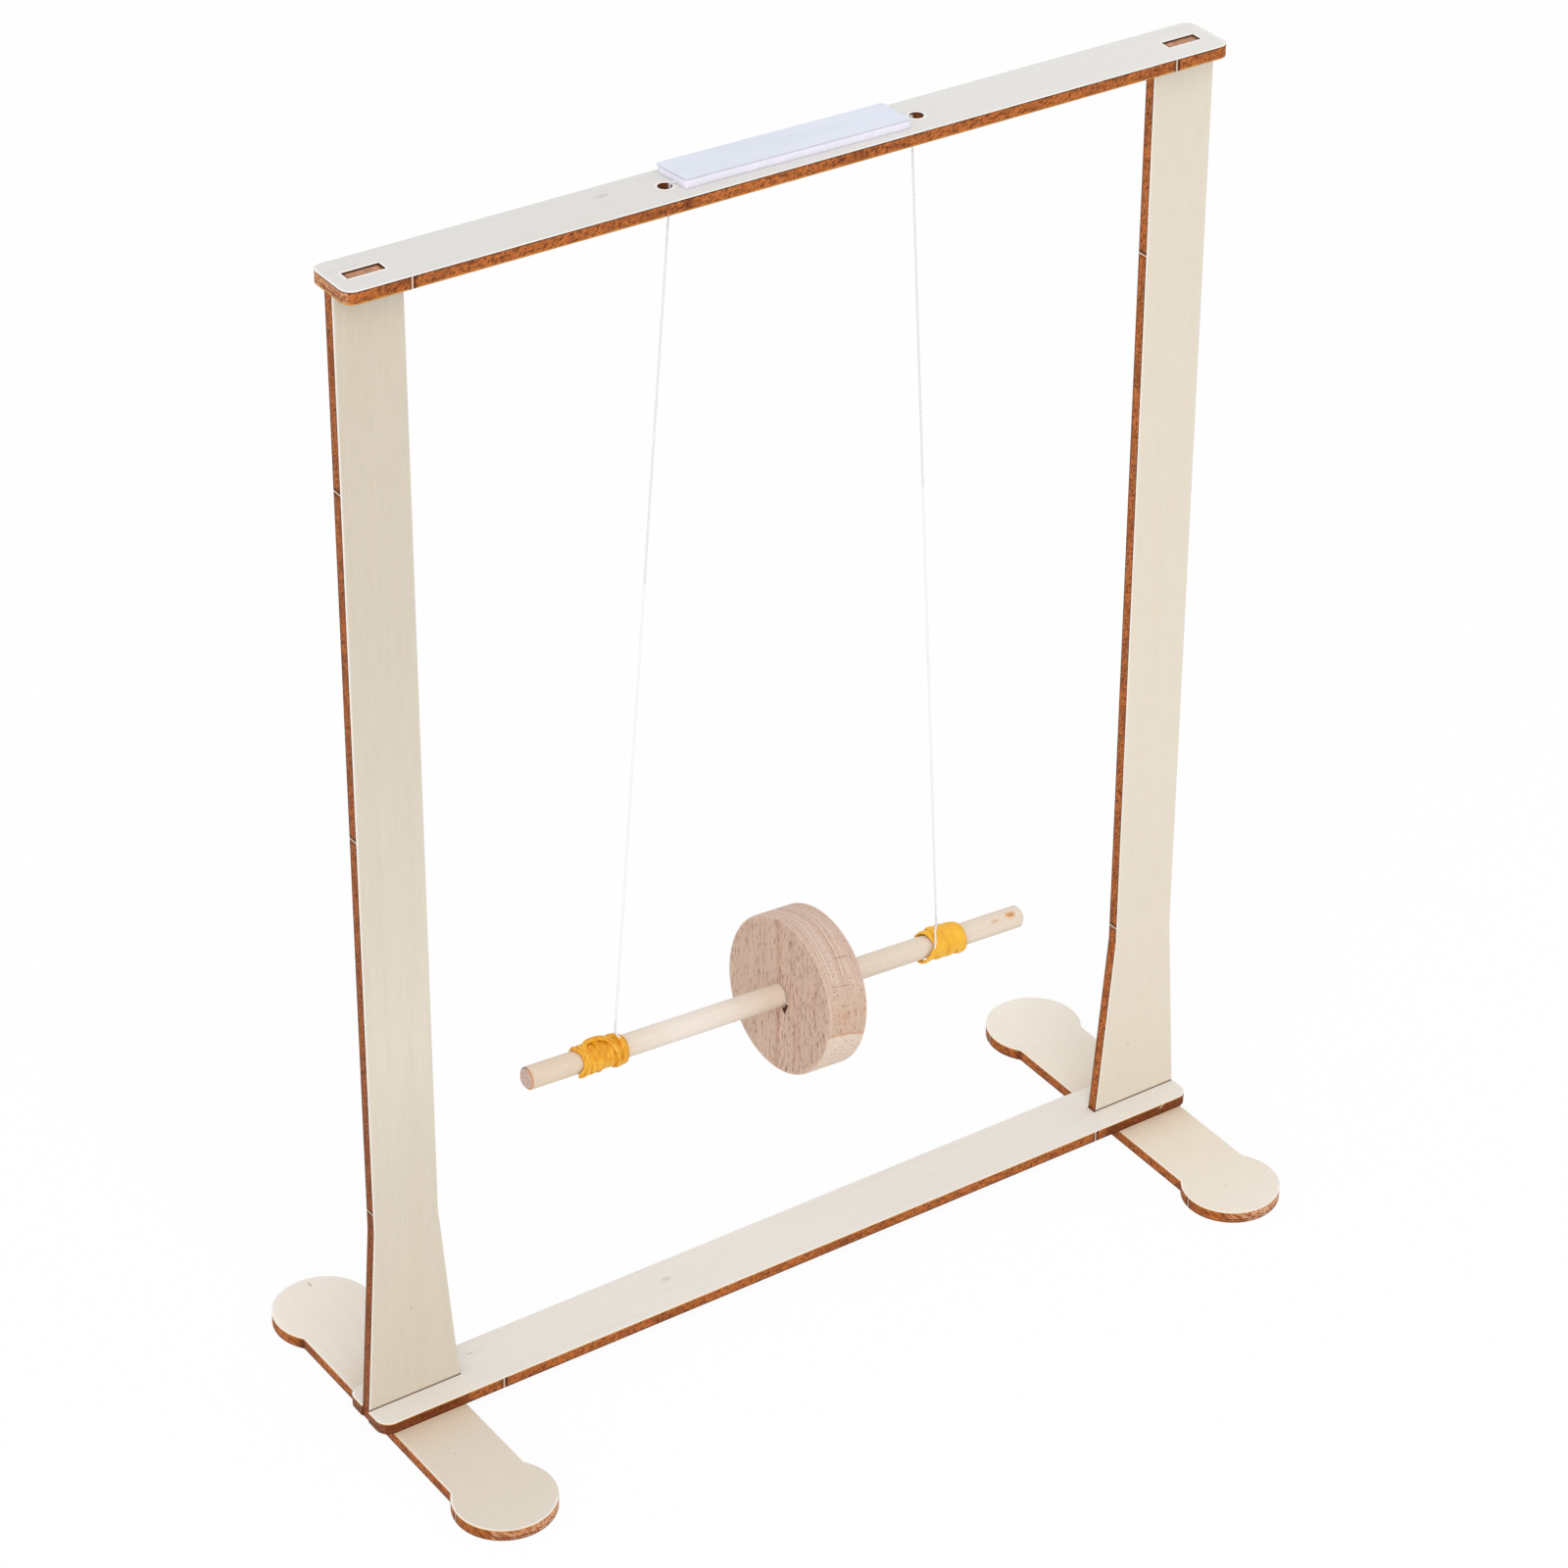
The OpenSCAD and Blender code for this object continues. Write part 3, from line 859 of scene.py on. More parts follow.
def rounded_route(points, step):
    """Points a step apart along a smooth curve through the given ones, in millimetres."""
    points = [Vector(p) for p in points]
    ends = [points[0] * 2 - points[1]] + points + [points[-1] * 2 - points[-2]]
    route = []
    for i in range(1, len(ends) - 2):
        a, b, c, d = ends[i - 1 : i + 3]
        route += between_stops(a, b, c, d, max(1, round((c - b).length / step)))
    route.append(points[-1])
    return route


def straight_route(start, stop, step):
    """Points about a step apart on a straight line."""
    count = max(2, round((stop - start).length / step))
    return [start.lerp(stop, i / count) for i in range(count + 1)]


# Thread

# Where the tied ends run over and between the strands: along the rod, degrees over its front from its top,
# distance from its axis
TIE_ROUTES = {
    "left": [
        (-50.7, 0, 4.95), (-50.55, 4, 4.6), (-50.3, 10, 4.3), (-50.3, 18, 4.2), (-50.4, 25, 3.9),
        (-50.6, 34, 3.3), (-50.7, 50, 3.25), (-50.8, 70, 3.3), (-50.8, 110, 3.3), (-50.7, 150, 3.3),
        (-50.6, 180, 3.3),
    ],
    "right": [
        (49.1, 0, 4.95), (48.7, 3, 4.9), (48.1, 10, 4.9), (47.45, 18, 4.9), (46.7, 34, 4.85),
        (46.2, 48, 4.7), (46.0, 58, 4.4), (46.1, 68, 3.9), (46.6, 84, 3.4), (47.0, 110, 3.3),
        (47.4, 150, 3.3), (47.6, 180, 3.3),
    ],
}


def on_rod(along, angle, radius):
    """A place on the rod, in metres. The angle is in degrees from its top over its front."""
    turn = math.radians(angle)
    return ROD_PLACE @ (Vector((along, -radius * math.sin(turn), radius * math.cos(turn))) * MM)


def bridge_route(look):
    """From the lower mouth of one hole to the other's, over the beam and round the rims of the holes."""
    lie = look.diameter / MM / 2 + 0.05
    half = [Vector((x, 0, BEAM_TOP + lie)) for x in (0, 8, 16, 24, HOLE_INNER - 0.4)]
    for turn in (15, 40, 65, 90):
        a = math.radians(turn)
        half.append(Vector((HOLE_INNER + lie * math.sin(a), 0, BEAM_TOP + lie * math.cos(a))))
    half += [Vector((HOLE_INNER + 0.4, 0, BEAM_TOP - 1.2)), MOUTHS["right"]]
    return [Vector((-p.x, p.y, p.z)) for p in reversed(half)] + half[1:]


def twisted_thread(name, route, look):
    """Two plies twisted together along a route in millimetres."""
    radius = look.diameter / 2
    steps = [0.0]
    for a, b in zip(route, route[1:]):
        steps.append(steps[-1] + (b - a).length)
    tilts = [2 * math.pi * s * MM / look.pitch for s in steps]
    lobes = []
    for k in range(10):
        turn = 2 * math.pi * k / 10
        bulge = radius * (0.80 + 0.20 * abs(math.cos(turn)))
        lobes.append((bulge * math.cos(turn), bulge * math.sin(turn)))
    return curve_piece(name, [p * MM for p in route], lobes, tilts)


def thread_material(look):
    made, b, surface = new_material("cotton thread")
    spot = b.object_place()
    fuzz = b.noise(spot, 9000.0, 2.0, 0.6)
    slub = b.noise(spot, 260.0, 1.0)
    colour = b.mix(b.between(fuzz, 0.3, 0.7), shaded(look.colour, 0.93), look.colour)
    colour = b.mix(b.times(slub, 0.25), colour, shaded(look.colour, 1.06))
    bump = b.bump(fuzz, 0.4, 0.06)
    finish_surface(b, surface, colour, 0.9, bump, Sheen_Weight=0.25, Specular_IOR_Level=0.2)
    return made


class PENDULUM_OT_threads(bpy.types.Operator):
    """Hang the two threads, with their ties on the rod and the stretch under the tape"""

    bl_idname = "pendulum.threads"
    bl_label = "Threads"

    def execute(self, context):
        look = context.scene.pendulum_thread
        cotton = thread_material(look)
        step = look.pitch / MM / 7
        for side in ("left", "right"):
            mouth = MOUTHS[side]
            tie = on_rod(TIE_REACH[side], 0, TIE_TOP) / MM
            up = (mouth - tie).normalized()
            top, low = mouth - FACE_GAP * up, tie + (END_LENGTH + 2 * FACE_GAP) * up
            route = straight_route(top, low, step)
            free = twisted_thread(f"{side}_thread_cord", route, look)
            stand_for(free, f"{side}_thread", "threads", cotton)
            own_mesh(free)

            route = straight_route(tie + FACE_GAP * up, tie + (END_LENGTH + FACE_GAP) * up, step)
            end = twisted_thread(f"{side}_thread_last_stretch", route, look)
            stand_for(end, f"{side}_thread_end", "thread_ends", cotton)

            route = rounded_route([on_rod(*spot) / MM for spot in TIE_ROUTES[side]], step)
            tied = twisted_thread(f"{side}_tied_thread", route, look)
            stand_for(tied, f"{side}_thread_tie", "wheel", cotton)

        bridge = twisted_thread("thread_under_tape", rounded_route(bridge_route(look), step), look)
        stand_for(bridge, "thread_bridge", "stand", cotton)
        return {"FINISHED"}


# Foam tape

# Where the tape lies on the upper beam, and its sizes in millimetres
TAPE_MIDDLE = Vector((-1.1, 1.1, BEAM_TOP))
TAPE_TURN = math.radians(-1.2)
TAPE_LONG, TAPE_WIDE = 60, 11.6
FOAM_THICK = 2.2
LINER_THICK = 0.2
FRONT_CORNER = 0.25


def tape_place(height):
    middle = Matrix.Translation(TAPE_MIDDLE + Vector((0, 0, height)))
    return Matrix.Scale(MM, 4) @ middle @ Matrix.Rotation(TAPE_TURN, 4, "Z")


def skew(spot, look):
    """The left end was cut out of square: its back corner stands out further than its front one."""
    return look.askew / MM * max(0, -spot.x / TAPE_LONG * 2) ** 4 * (-0.3 - spot.y / TAPE_WIDE)


def tape_outline(columns, rows, length, width):
    """A flat grid of the tape's size."""
    form = bmesh.new()
    bmesh.ops.create_grid(form, x_segments=columns, y_segments=rows, size=0.5)
    bmesh.ops.scale(form, vec=(length, width, 1), verts=form.verts)
    return form


def round_corners(form, corners, radius, segments):
    bmesh.ops.bevel(
        form, geom=corners, offset=radius, affect="VERTICES", segments=segments, profile=0.5, material=-1
    )


def thicken(form, height):
    """Draws the flat form up into a slab."""
    drawn = bmesh.ops.extrude_face_region(form, geom=form.faces[:])["geom"]
    upper = [v for v in drawn if isinstance(v, bmesh.types.BMVert)]
    bmesh.ops.translate(form, vec=(0, 0, height), verts=upper)


def foam_form(look):
    """A strip whose sides swell a little half way up. Its front left corner is pressed in below."""
    bulge = look.bulge / MM
    half_x, half_y = TAPE_LONG / 2 - bulge, TAPE_WIDE / 2 - bulge
    form = tape_outline(40, 8, 2 * half_x, 2 * half_y)
    form.verts.ensure_lookup_table()
    rear = [v for v in form.verts if v.co.y > half_y - 0.01 and len(v.link_edges) == 2]
    round_corners(form, rear, look.corner / MM, 4)
    thicken(form, FOAM_THICK)
    upright = [e for e in form.edges if abs(e.verts[0].co.z - e.verts[1].co.z) > 1]
    bmesh.ops.subdivide_edges(form, edges=upright, cuts=4, use_grid_fill=True)
    for v in form.verts:
        share = v.co.z / FOAM_THICK
        swell = bulge * math.sin(math.pi * share) ** 0.7 if 0 < share < 1 else 0
        wobble = 0.07 * noise.noise(v.co * 0.45) * (0 < share < 1)
        on_x, on_y = abs(v.co.x) > half_x - 0.01, abs(v.co.y) > half_y - 0.01
        if on_x:
            v.co.x += math.copysign(swell + wobble, v.co.x)
        if on_y:
            v.co.y += math.copysign(swell + wobble, v.co.y)
        near = max(0, 1 - (Vector((v.co.x, v.co.y)) - Vector((-half_x, -half_y))).length / 5)
        if on_x or on_y:
            v.co.x -= 0.35 * near * (1 - share)
            v.co.y -= 0.25 * near * (1 - share)
        v.co.z -= look.slope / MM * share * (v.co.y / TAPE_WIDE + 0.5)
        v.co.x += skew(v.co, look)
    bmesh.ops.transform(form, matrix=tape_place(0), verts=form.verts)
    return form


def paper_form(look):
    """The paper, with rounder corners at its back. It leans with the foam."""
    form = tape_outline(1, 1, TAPE_LONG, TAPE_WIDE)
    back = [v for v in form.verts if v.co.y > 0]
    front = [v for v in form.verts if v.co.y < 0]
    round_corners(form, back, look.corner / MM, 5)
    round_corners(form, front, FRONT_CORNER, 5)
    thicken(form, LINER_THICK)
    for v in form.verts:
        v.co.x += skew(v.co, look)
    lean = Matrix.Identity(4)
    lean[2][1], lean[2][3] = -look.slope / MM / TAPE_WIDE, -look.slope / MM / 2
    bmesh.ops.transform(form, matrix=tape_place(FOAM_THICK) @ lean, verts=form.verts)
    return form


def foam_material(look):
    made, b, surface = new_material("white foam")
    spot = b.object_place()
    cells = b.node("ShaderNodeTexVoronoi", {"Vector": spot, "Scale": 3600.0}).outputs["Distance"]
    cloud = b.noise(spot, 300.0)
    colour = b.mix(b.between(cells, 0.1, 0.75), look.foam, shaded(look.foam, 0.975))
    colour = b.mix(b.times(b.between(cloud, 0.4, 0.7), 0.4), colour, shaded(look.foam, 1.03))
    finish_surface(b, surface, colour, 0.85, b.bump(cells, 0.3, 0.1))
    return made


def paper_material(look):
    made, b, surface = new_material("release paper")
    coords = b.node("ShaderNodeTexCoord").outputs
    fibre = b.noise(coords["Object"], (1500.0, 2600.0, 2600.0), 3.0, 0.6)
    cloud = b.noise(coords["Object"], (45.0, 160.0, 100.0))
    colour = b.mix(b.between(cloud, 0.35, 0.7), look.paper, shaded(look.paper, 0.975))
    colour = b.mix(b.times(fibre, 0.12), colour, look.paper_light)
    side = b.under(b.split(coords["Normal"])[2], 0.7)
    colour = b.mix(b.times(side, 0.8), colour, look.paper_side)
    bump = b.bump(b.plus(b.times(cloud, 3.0), fibre), 0.18, 0.1)
    finish_surface(b, surface, colour, b.plus(0.38, b.times(cloud, 0.15)), bump)
    return made


class PENDULUM_OT_tape(bpy.types.Operator):
    """Stick the foam tape over the thread, with the paper still on its upper side"""

    bl_idname = "pendulum.tape"
    bl_label = "Foam tape"

    def execute(self, context):
        look = context.scene.pendulum_tape
        foam = closed_piece("foam_strip", foam_form(look))
        crease = foam.modifiers.new("soft edges", "BEVEL")
        crease.width = 0.18 * MM
        crease.segments = 2
        crease.limit_method = "ANGLE"
        crease.angle_limit = math.radians(50)
        stand_for(foam, "foam_tape", "stand", foam_material(look))

        paper = closed_piece("release_paper", paper_form(look), smooth=False)
        stand_for(paper, "tape_liner", "stand", paper_material(look))
        return {"FINISHED"}


# Rod and disc


class RodBench(Bench):
    """A bench with places in millimetres along, behind and above the rod's middle."""

    def __init__(self, tree):
        super().__init__(tree)
        feeds = {"Vector": self.object_place(), "Location": tuple(ROD_MIDDLE), "Rotation": ROD_TURN}
        own = self.node("ShaderNodeMapping", feeds, vector_type="TEXTURE").outputs[0]
        self.spot = self.stretch(own, TO_MM)
        self.axis = self.split(self.spot)

    def reach(self):
        """How far a place is from the rod's axis."""
        return self.length(self.join(0.0, self.axis[1], self.axis[2]))


# The rod's tone from its left end to its right one: 0 for the plain wood, 1 for its palest
ROD_TONES = [(0.0, 0), (0.12, 0), (0.28, 1), (0.36, 1), (0.46, 0.5), (0.56, 1), (0.66, 0.5), (1.0, 0.5)]

# Two knots on the side that faces forward and up: along, degrees over the front, half length, half width
# and strength
KNOTS = [(72.4, 36.0, 1.7, 0.9, 0.95), (67.2, 41.0, 1.6, 0.7, 0.4)]


def knot(b, ground, colour, along, angle, long, wide, strength):
    """A knot with a ragged outline and a darker heart."""
    turn = math.radians(angle)
    off = b.vector("SUBTRACT", b.spot, (along, -ROD_RADIUS * math.sin(turn), ROD_RADIUS * math.cos(turn)))
    off = b.length(b.stretch(off, (1 / long, 1 / wide, 1 / wide)))
    ragged = b.plus(off, b.times(b.minus(b.noise(b.spot, 1.6, 2.0, 0.6), 0.5), 1.6))
    ground = b.mix(b.times(b.between(ragged, 1.25, 0.5), strength), ground, colour)
    return b.mix(b.times(b.between(ragged, 0.5, 0.1), strength * 0.6), ground, shaded(colour, 0.72))


def rod_end(b, look):
    """End grain, with a warmer lip at its front and a darker one at its back."""
    ring = b.noise(b.spot, (0.2, 1.6, 2.6), 3.0, 0.6)
    ground = b.mix(b.between(ring, 0.35, 0.65), shaded(look.rod_end, 0.92), shaded(look.rod_end, 1.06))
    lip = b.mix(b.between(b.axis[1], 1.0, -1.0), shaded(look.rod_end, 0.72), look.rod_lip)
    return b.mix(b.between(b.reach(), ROD_RADIUS - 0.7, ROD_RADIUS - 0.2), ground, lip)


def rod_material(look):
    made, b, surface = new_material("pale dowel")
    b = RodBench(b.tree)
    axis = b.axis
    grain = b.use("lengthwise grain", Vector=b.spot, Fibre_Width=0.32, Band_Width=1.6, Seed=12.0)
    tones = []
    for place, share in ROD_TONES:
        tones.append((place, tuple(a + (c - a) * share for a, c in zip(look.rod, look.rod_pale))))
    ground = b.ramp(b.between(axis[0], 0.4 - ROD_HALF, ROD_HALF - 0.4, smooth=False), tones)
    blush = b.times(b.between(axis[0], -26.0, -1.0), b.under(axis[0], 0.0), 0.4)
    ground = b.mix(blush, ground, shaded(look.rod, 0.96))
    ground = b.mix(b.math("MULTIPLY", grain["Band"], 0.9, clamp=True), ground, shaded(look.rod, 0.9))
    ground = b.shade(ground, grain["Fibre"], 0.16)
    dots = b.noise(b.spot, (1.8, 3.2, 3.2))
    ground = b.mix(b.times(b.between(dots, 0.56, 0.7), 0.35), ground, look.speckle)
    ground = b.mix(b.times(b.between(dots, 0.44, 0.3), 0.3), ground, look.pale_dots)
    for spot in KNOTS:
        ground = knot(b, ground, look.stain, *spot)
    ends = b.between(b.unsigned(axis[0]), ROD_HALF - 0.55, ROD_HALF - 0.3)
    ground = b.mix(ends, ground, rod_end(b, look))

    corner = b.use("eased corner", Radius=0.8 * MM)
    bump = b.bump(grain["Height"], 0.2, 0.1, Normal=corner["Normal"])
    rough = b.plus(0.6, b.times(grain["Fibre"], 0.2))
    finish_surface(b, surface, ground, rough, bump, Specular_IOR_Level=0.3)
    return made


# Two short lines on the front of the disc's side: degrees from its top, and from and to along the rod
SHORT_LINES = [(38.5, 4.6, 9.9), (58.0, 1.0, 7.2)]

# A redder blot on the disc's side: along the rod, and degrees from its top
BLOT = (4.0, 82)

# Millimetres round the disc's side for each degree
ARC = 0.36


class DiscBench(RodBench):
    """A bench for solid wood whose grain runs up the disc, nearly square to the rod."""

    def __init__(self, tree):
        super().__init__(tree)
        axis = self.axis
        self.across = self.minus(axis[1], self.times(axis[2], 0.085))
        self.upright = self.join(axis[0], self.across, axis[2])
        self.far = self.reach()
        turn = self.math("ARCTAN2", self.times(axis[1], -1.0), axis[2])
        self.angle = self.times(turn, 180 / math.pi)
        self.on_rim = self.between(self.far, DISC_RADIUS - 0.35, DISC_RADIUS - 0.1)
        self.left = self.under(axis[0], 0.0)


def disc_face(b, look):
    """The face: rosier in front of the hub and browner behind it. It gives its colour and what is behind."""
    wander = b.noise(b.upright, (0.0, 0.0, 0.09), 1.0)
    behind = b.between(b.plus(b.across, b.times(b.minus(wander, 0.5), 2.5)), -0.9, 0.1)
    face = b.mix(behind, look.disc, look.disc_back)
    streak = b.noise(b.upright, (0.2, 0.75, 0.035), 2.0, 0.55)
    face = b.mix(b.times(b.between(streak, 0.5, 0.72), 0.35), face, look.ring)
    face = b.mix(b.times(b.between(streak, 0.45, 0.28), 0.4), face, look.disc_light)
    seam = b.times(behind, b.between(b.across, 2.2, 0.2), 0.4)
    return b.mix(seam, face, shaded(look.ring, 1.02)), behind


def disc_rim(b, look):
    """The side: fine lines round its upper part, short ones, and a wavy one under which it is plainer and
    paler, the paler colour partly painted light thrown up from the floor.
    """
    along, angle = b.axis[0], b.angle
    sway = b.noise(b.join(b.times(along, 0.1), b.times(angle, 0.02), 0.0), 1.0, 1.0)
    season = b.noise(b.join(b.plus(along, b.times(sway, 4.0)), 3.7, 0.0), 1.6, 2.0, 0.6)
    late = b.most(b.near(season, 0.5, 0.05), b.times(b.near(season, 0.6, 0.035), 0.7))
    early = b.most(b.near(season, 0.43, 0.035), b.near(season, 0.56, 0.02))
    upper = b.between(b.apart(angle, 12.0), 66.0, 36.0)
    arc = b.times(angle, ARC)
    hatch = b.noise(b.join(b.times(along, 0.35), b.times(arc, 2.2), 0.0), 1.0, 2.0, 0.6)
    rim = b.mix(upper, look.rim, look.rim_top)
    rim = b.mix(b.times(b.between(hatch, 0.56, 0.7), 0.4), rim, look.ring)
    rim = b.mix(b.times(early, upper, 0.6), rim, look.rim_pale_and_lit)
    rim = b.mix(b.times(late, b.plus(0.14, b.times(upper, 0.66))), rim, look.ring)
    for height, start, stop in SHORT_LINES:
        cut = b.near(b.minus(angle, b.times(along, 0.3)), height, 1.1)
        span = b.times(b.between(along, start, start + 0.6), b.between(along, stop, stop - 1.5))
        rim = b.mix(b.times(cut, span, b.between(hatch, 0.3, 0.6), 0.6), rim, look.ring)
    blot = b.vector("SUBTRACT", b.join(along, arc, 0.0), (BLOT[0], BLOT[1] * ARC, 0.0))
    blot = b.length(b.stretch(blot, (0.45, 0.55, 0.0)))
    rim = b.mix(b.times(b.between(blot, 1.3, 0.2), 0.5), rim, look.blush)
    wave = b.plus(b.times(b.math("POWER", b.unsigned(along), 2.0), 0.055), 94.0)
    wave = b.plus(wave, b.times(b.minus(b.noise(b.spot, 1.1), 0.5), 3.0))
    below = b.minus(angle, wave)
    plain = b.most(b.between(below, -0.4, 0.8), b.under(angle, -100.0))
    # Below the wavy line the side is plainer, and paler partly as painted light from the floor
    rim = b.mix(plain, rim, look.rim_pale_and_lit)
    return b.mix(b.times(b.near(below, 0.0, 1.9), 0.85), rim, look.blush)


def hub_chip(b):
    """A small chip torn out of the left face, under the rod."""
    side = b.plus(b.times(b.axis[1], 0.949), b.times(b.axis[2], 0.316))
    under = b.minus(b.times(b.axis[1], 0.618), b.times(b.axis[2], 0.787))
    return b.times(
        b.between(side, -4.25, -3.95),
        b.between(under, 1.5, 1.3),
        b.between(b.axis[2], -0.9, -1.15),
        b.under(b.far, 5.4),
        b.left,
    )


def beech_material(look):
    made, b, surface = new_material("sanded beech")
    b = DiscBench(b.tree)
    face, behind = disc_face(b, look)
    body = b.mix(b.on_rim, face, disc_rim(b, look))

    # Fibres and short dark flecks, which are rarer behind the hub and on the side
    fibre = b.noise(b.upright, (3.5, 3.6, 0.16), 3.0, 0.65)
    body = b.shade(body, b.minus(fibre, 0.5), 0.36)
    cells = b.noise(b.upright, (3.0, 3.3, 0.55), 1.0, 0.4)
    rarer = b.times(b.most(b.times(behind, 0.5), b.on_rim), 0.06)
    fleck = b.between(b.minus(cells, rarer), 0.575, 0.64)
    body = b.mix(b.times(fleck, 0.62), body, look.fleck)

    # Where the rod comes through on the left: painted shade in a gap over its front, and darker wood round
    # it
    reach = b.between(b.far, 3.5, 3.15)
    gap_shade = b.times(reach, b.between(b.angle, 12.0, 30.0), b.between(b.angle, 100.0, 84.0))
    body = b.mix(b.times(gap_shade, b.left, 0.8), body, look.hub_shade)
    reach = b.between(b.far, 4.3, 3.0)
    halo = b.times(reach, b.between(b.angle, -60.0, 10.0), b.between(b.angle, 110.0, 70.0))
    body = b.mix(b.times(halo, b.left, 0.3), body, look.fleck)
    chip = hub_chip(b)
    # The chip's hollow is painted dark: painted shade
    body = b.mix(chip, body, shaded(look.hub_shade, 0.75))

    corner = b.use("eased corner", Radius=1.0 * MM)
    # A painted highlight along the disc's rims
    body = b.mix(b.times(corner["Rim"], 0.4), body, look.rim_pale_and_lit)
    height = b.minus(b.times(fibre, 0.6), b.plus(b.times(fleck, 0.5), chip))
    bump = b.bump(height, 0.2, 0.12, Normal=corner["Normal"])
    finish_surface(b, surface, body, b.plus(0.6, b.times(fleck, 0.12)), bump, Specular_IOR_Level=0.2)
    return made


class PENDULUM_OT_wheel(bpy.types.Operator):
    """Give the rod and the disc their two kinds of wood"""

    bl_idname = "pendulum.wheel"
    bl_label = "Rod and disc"

    def execute(self, context):
        look = context.scene.pendulum_wheel
        dress("axle_dowel", rod_material(look))
        dress("wheel_disc", beech_material(look))
        return {"FINISHED"}


# Rubber bands

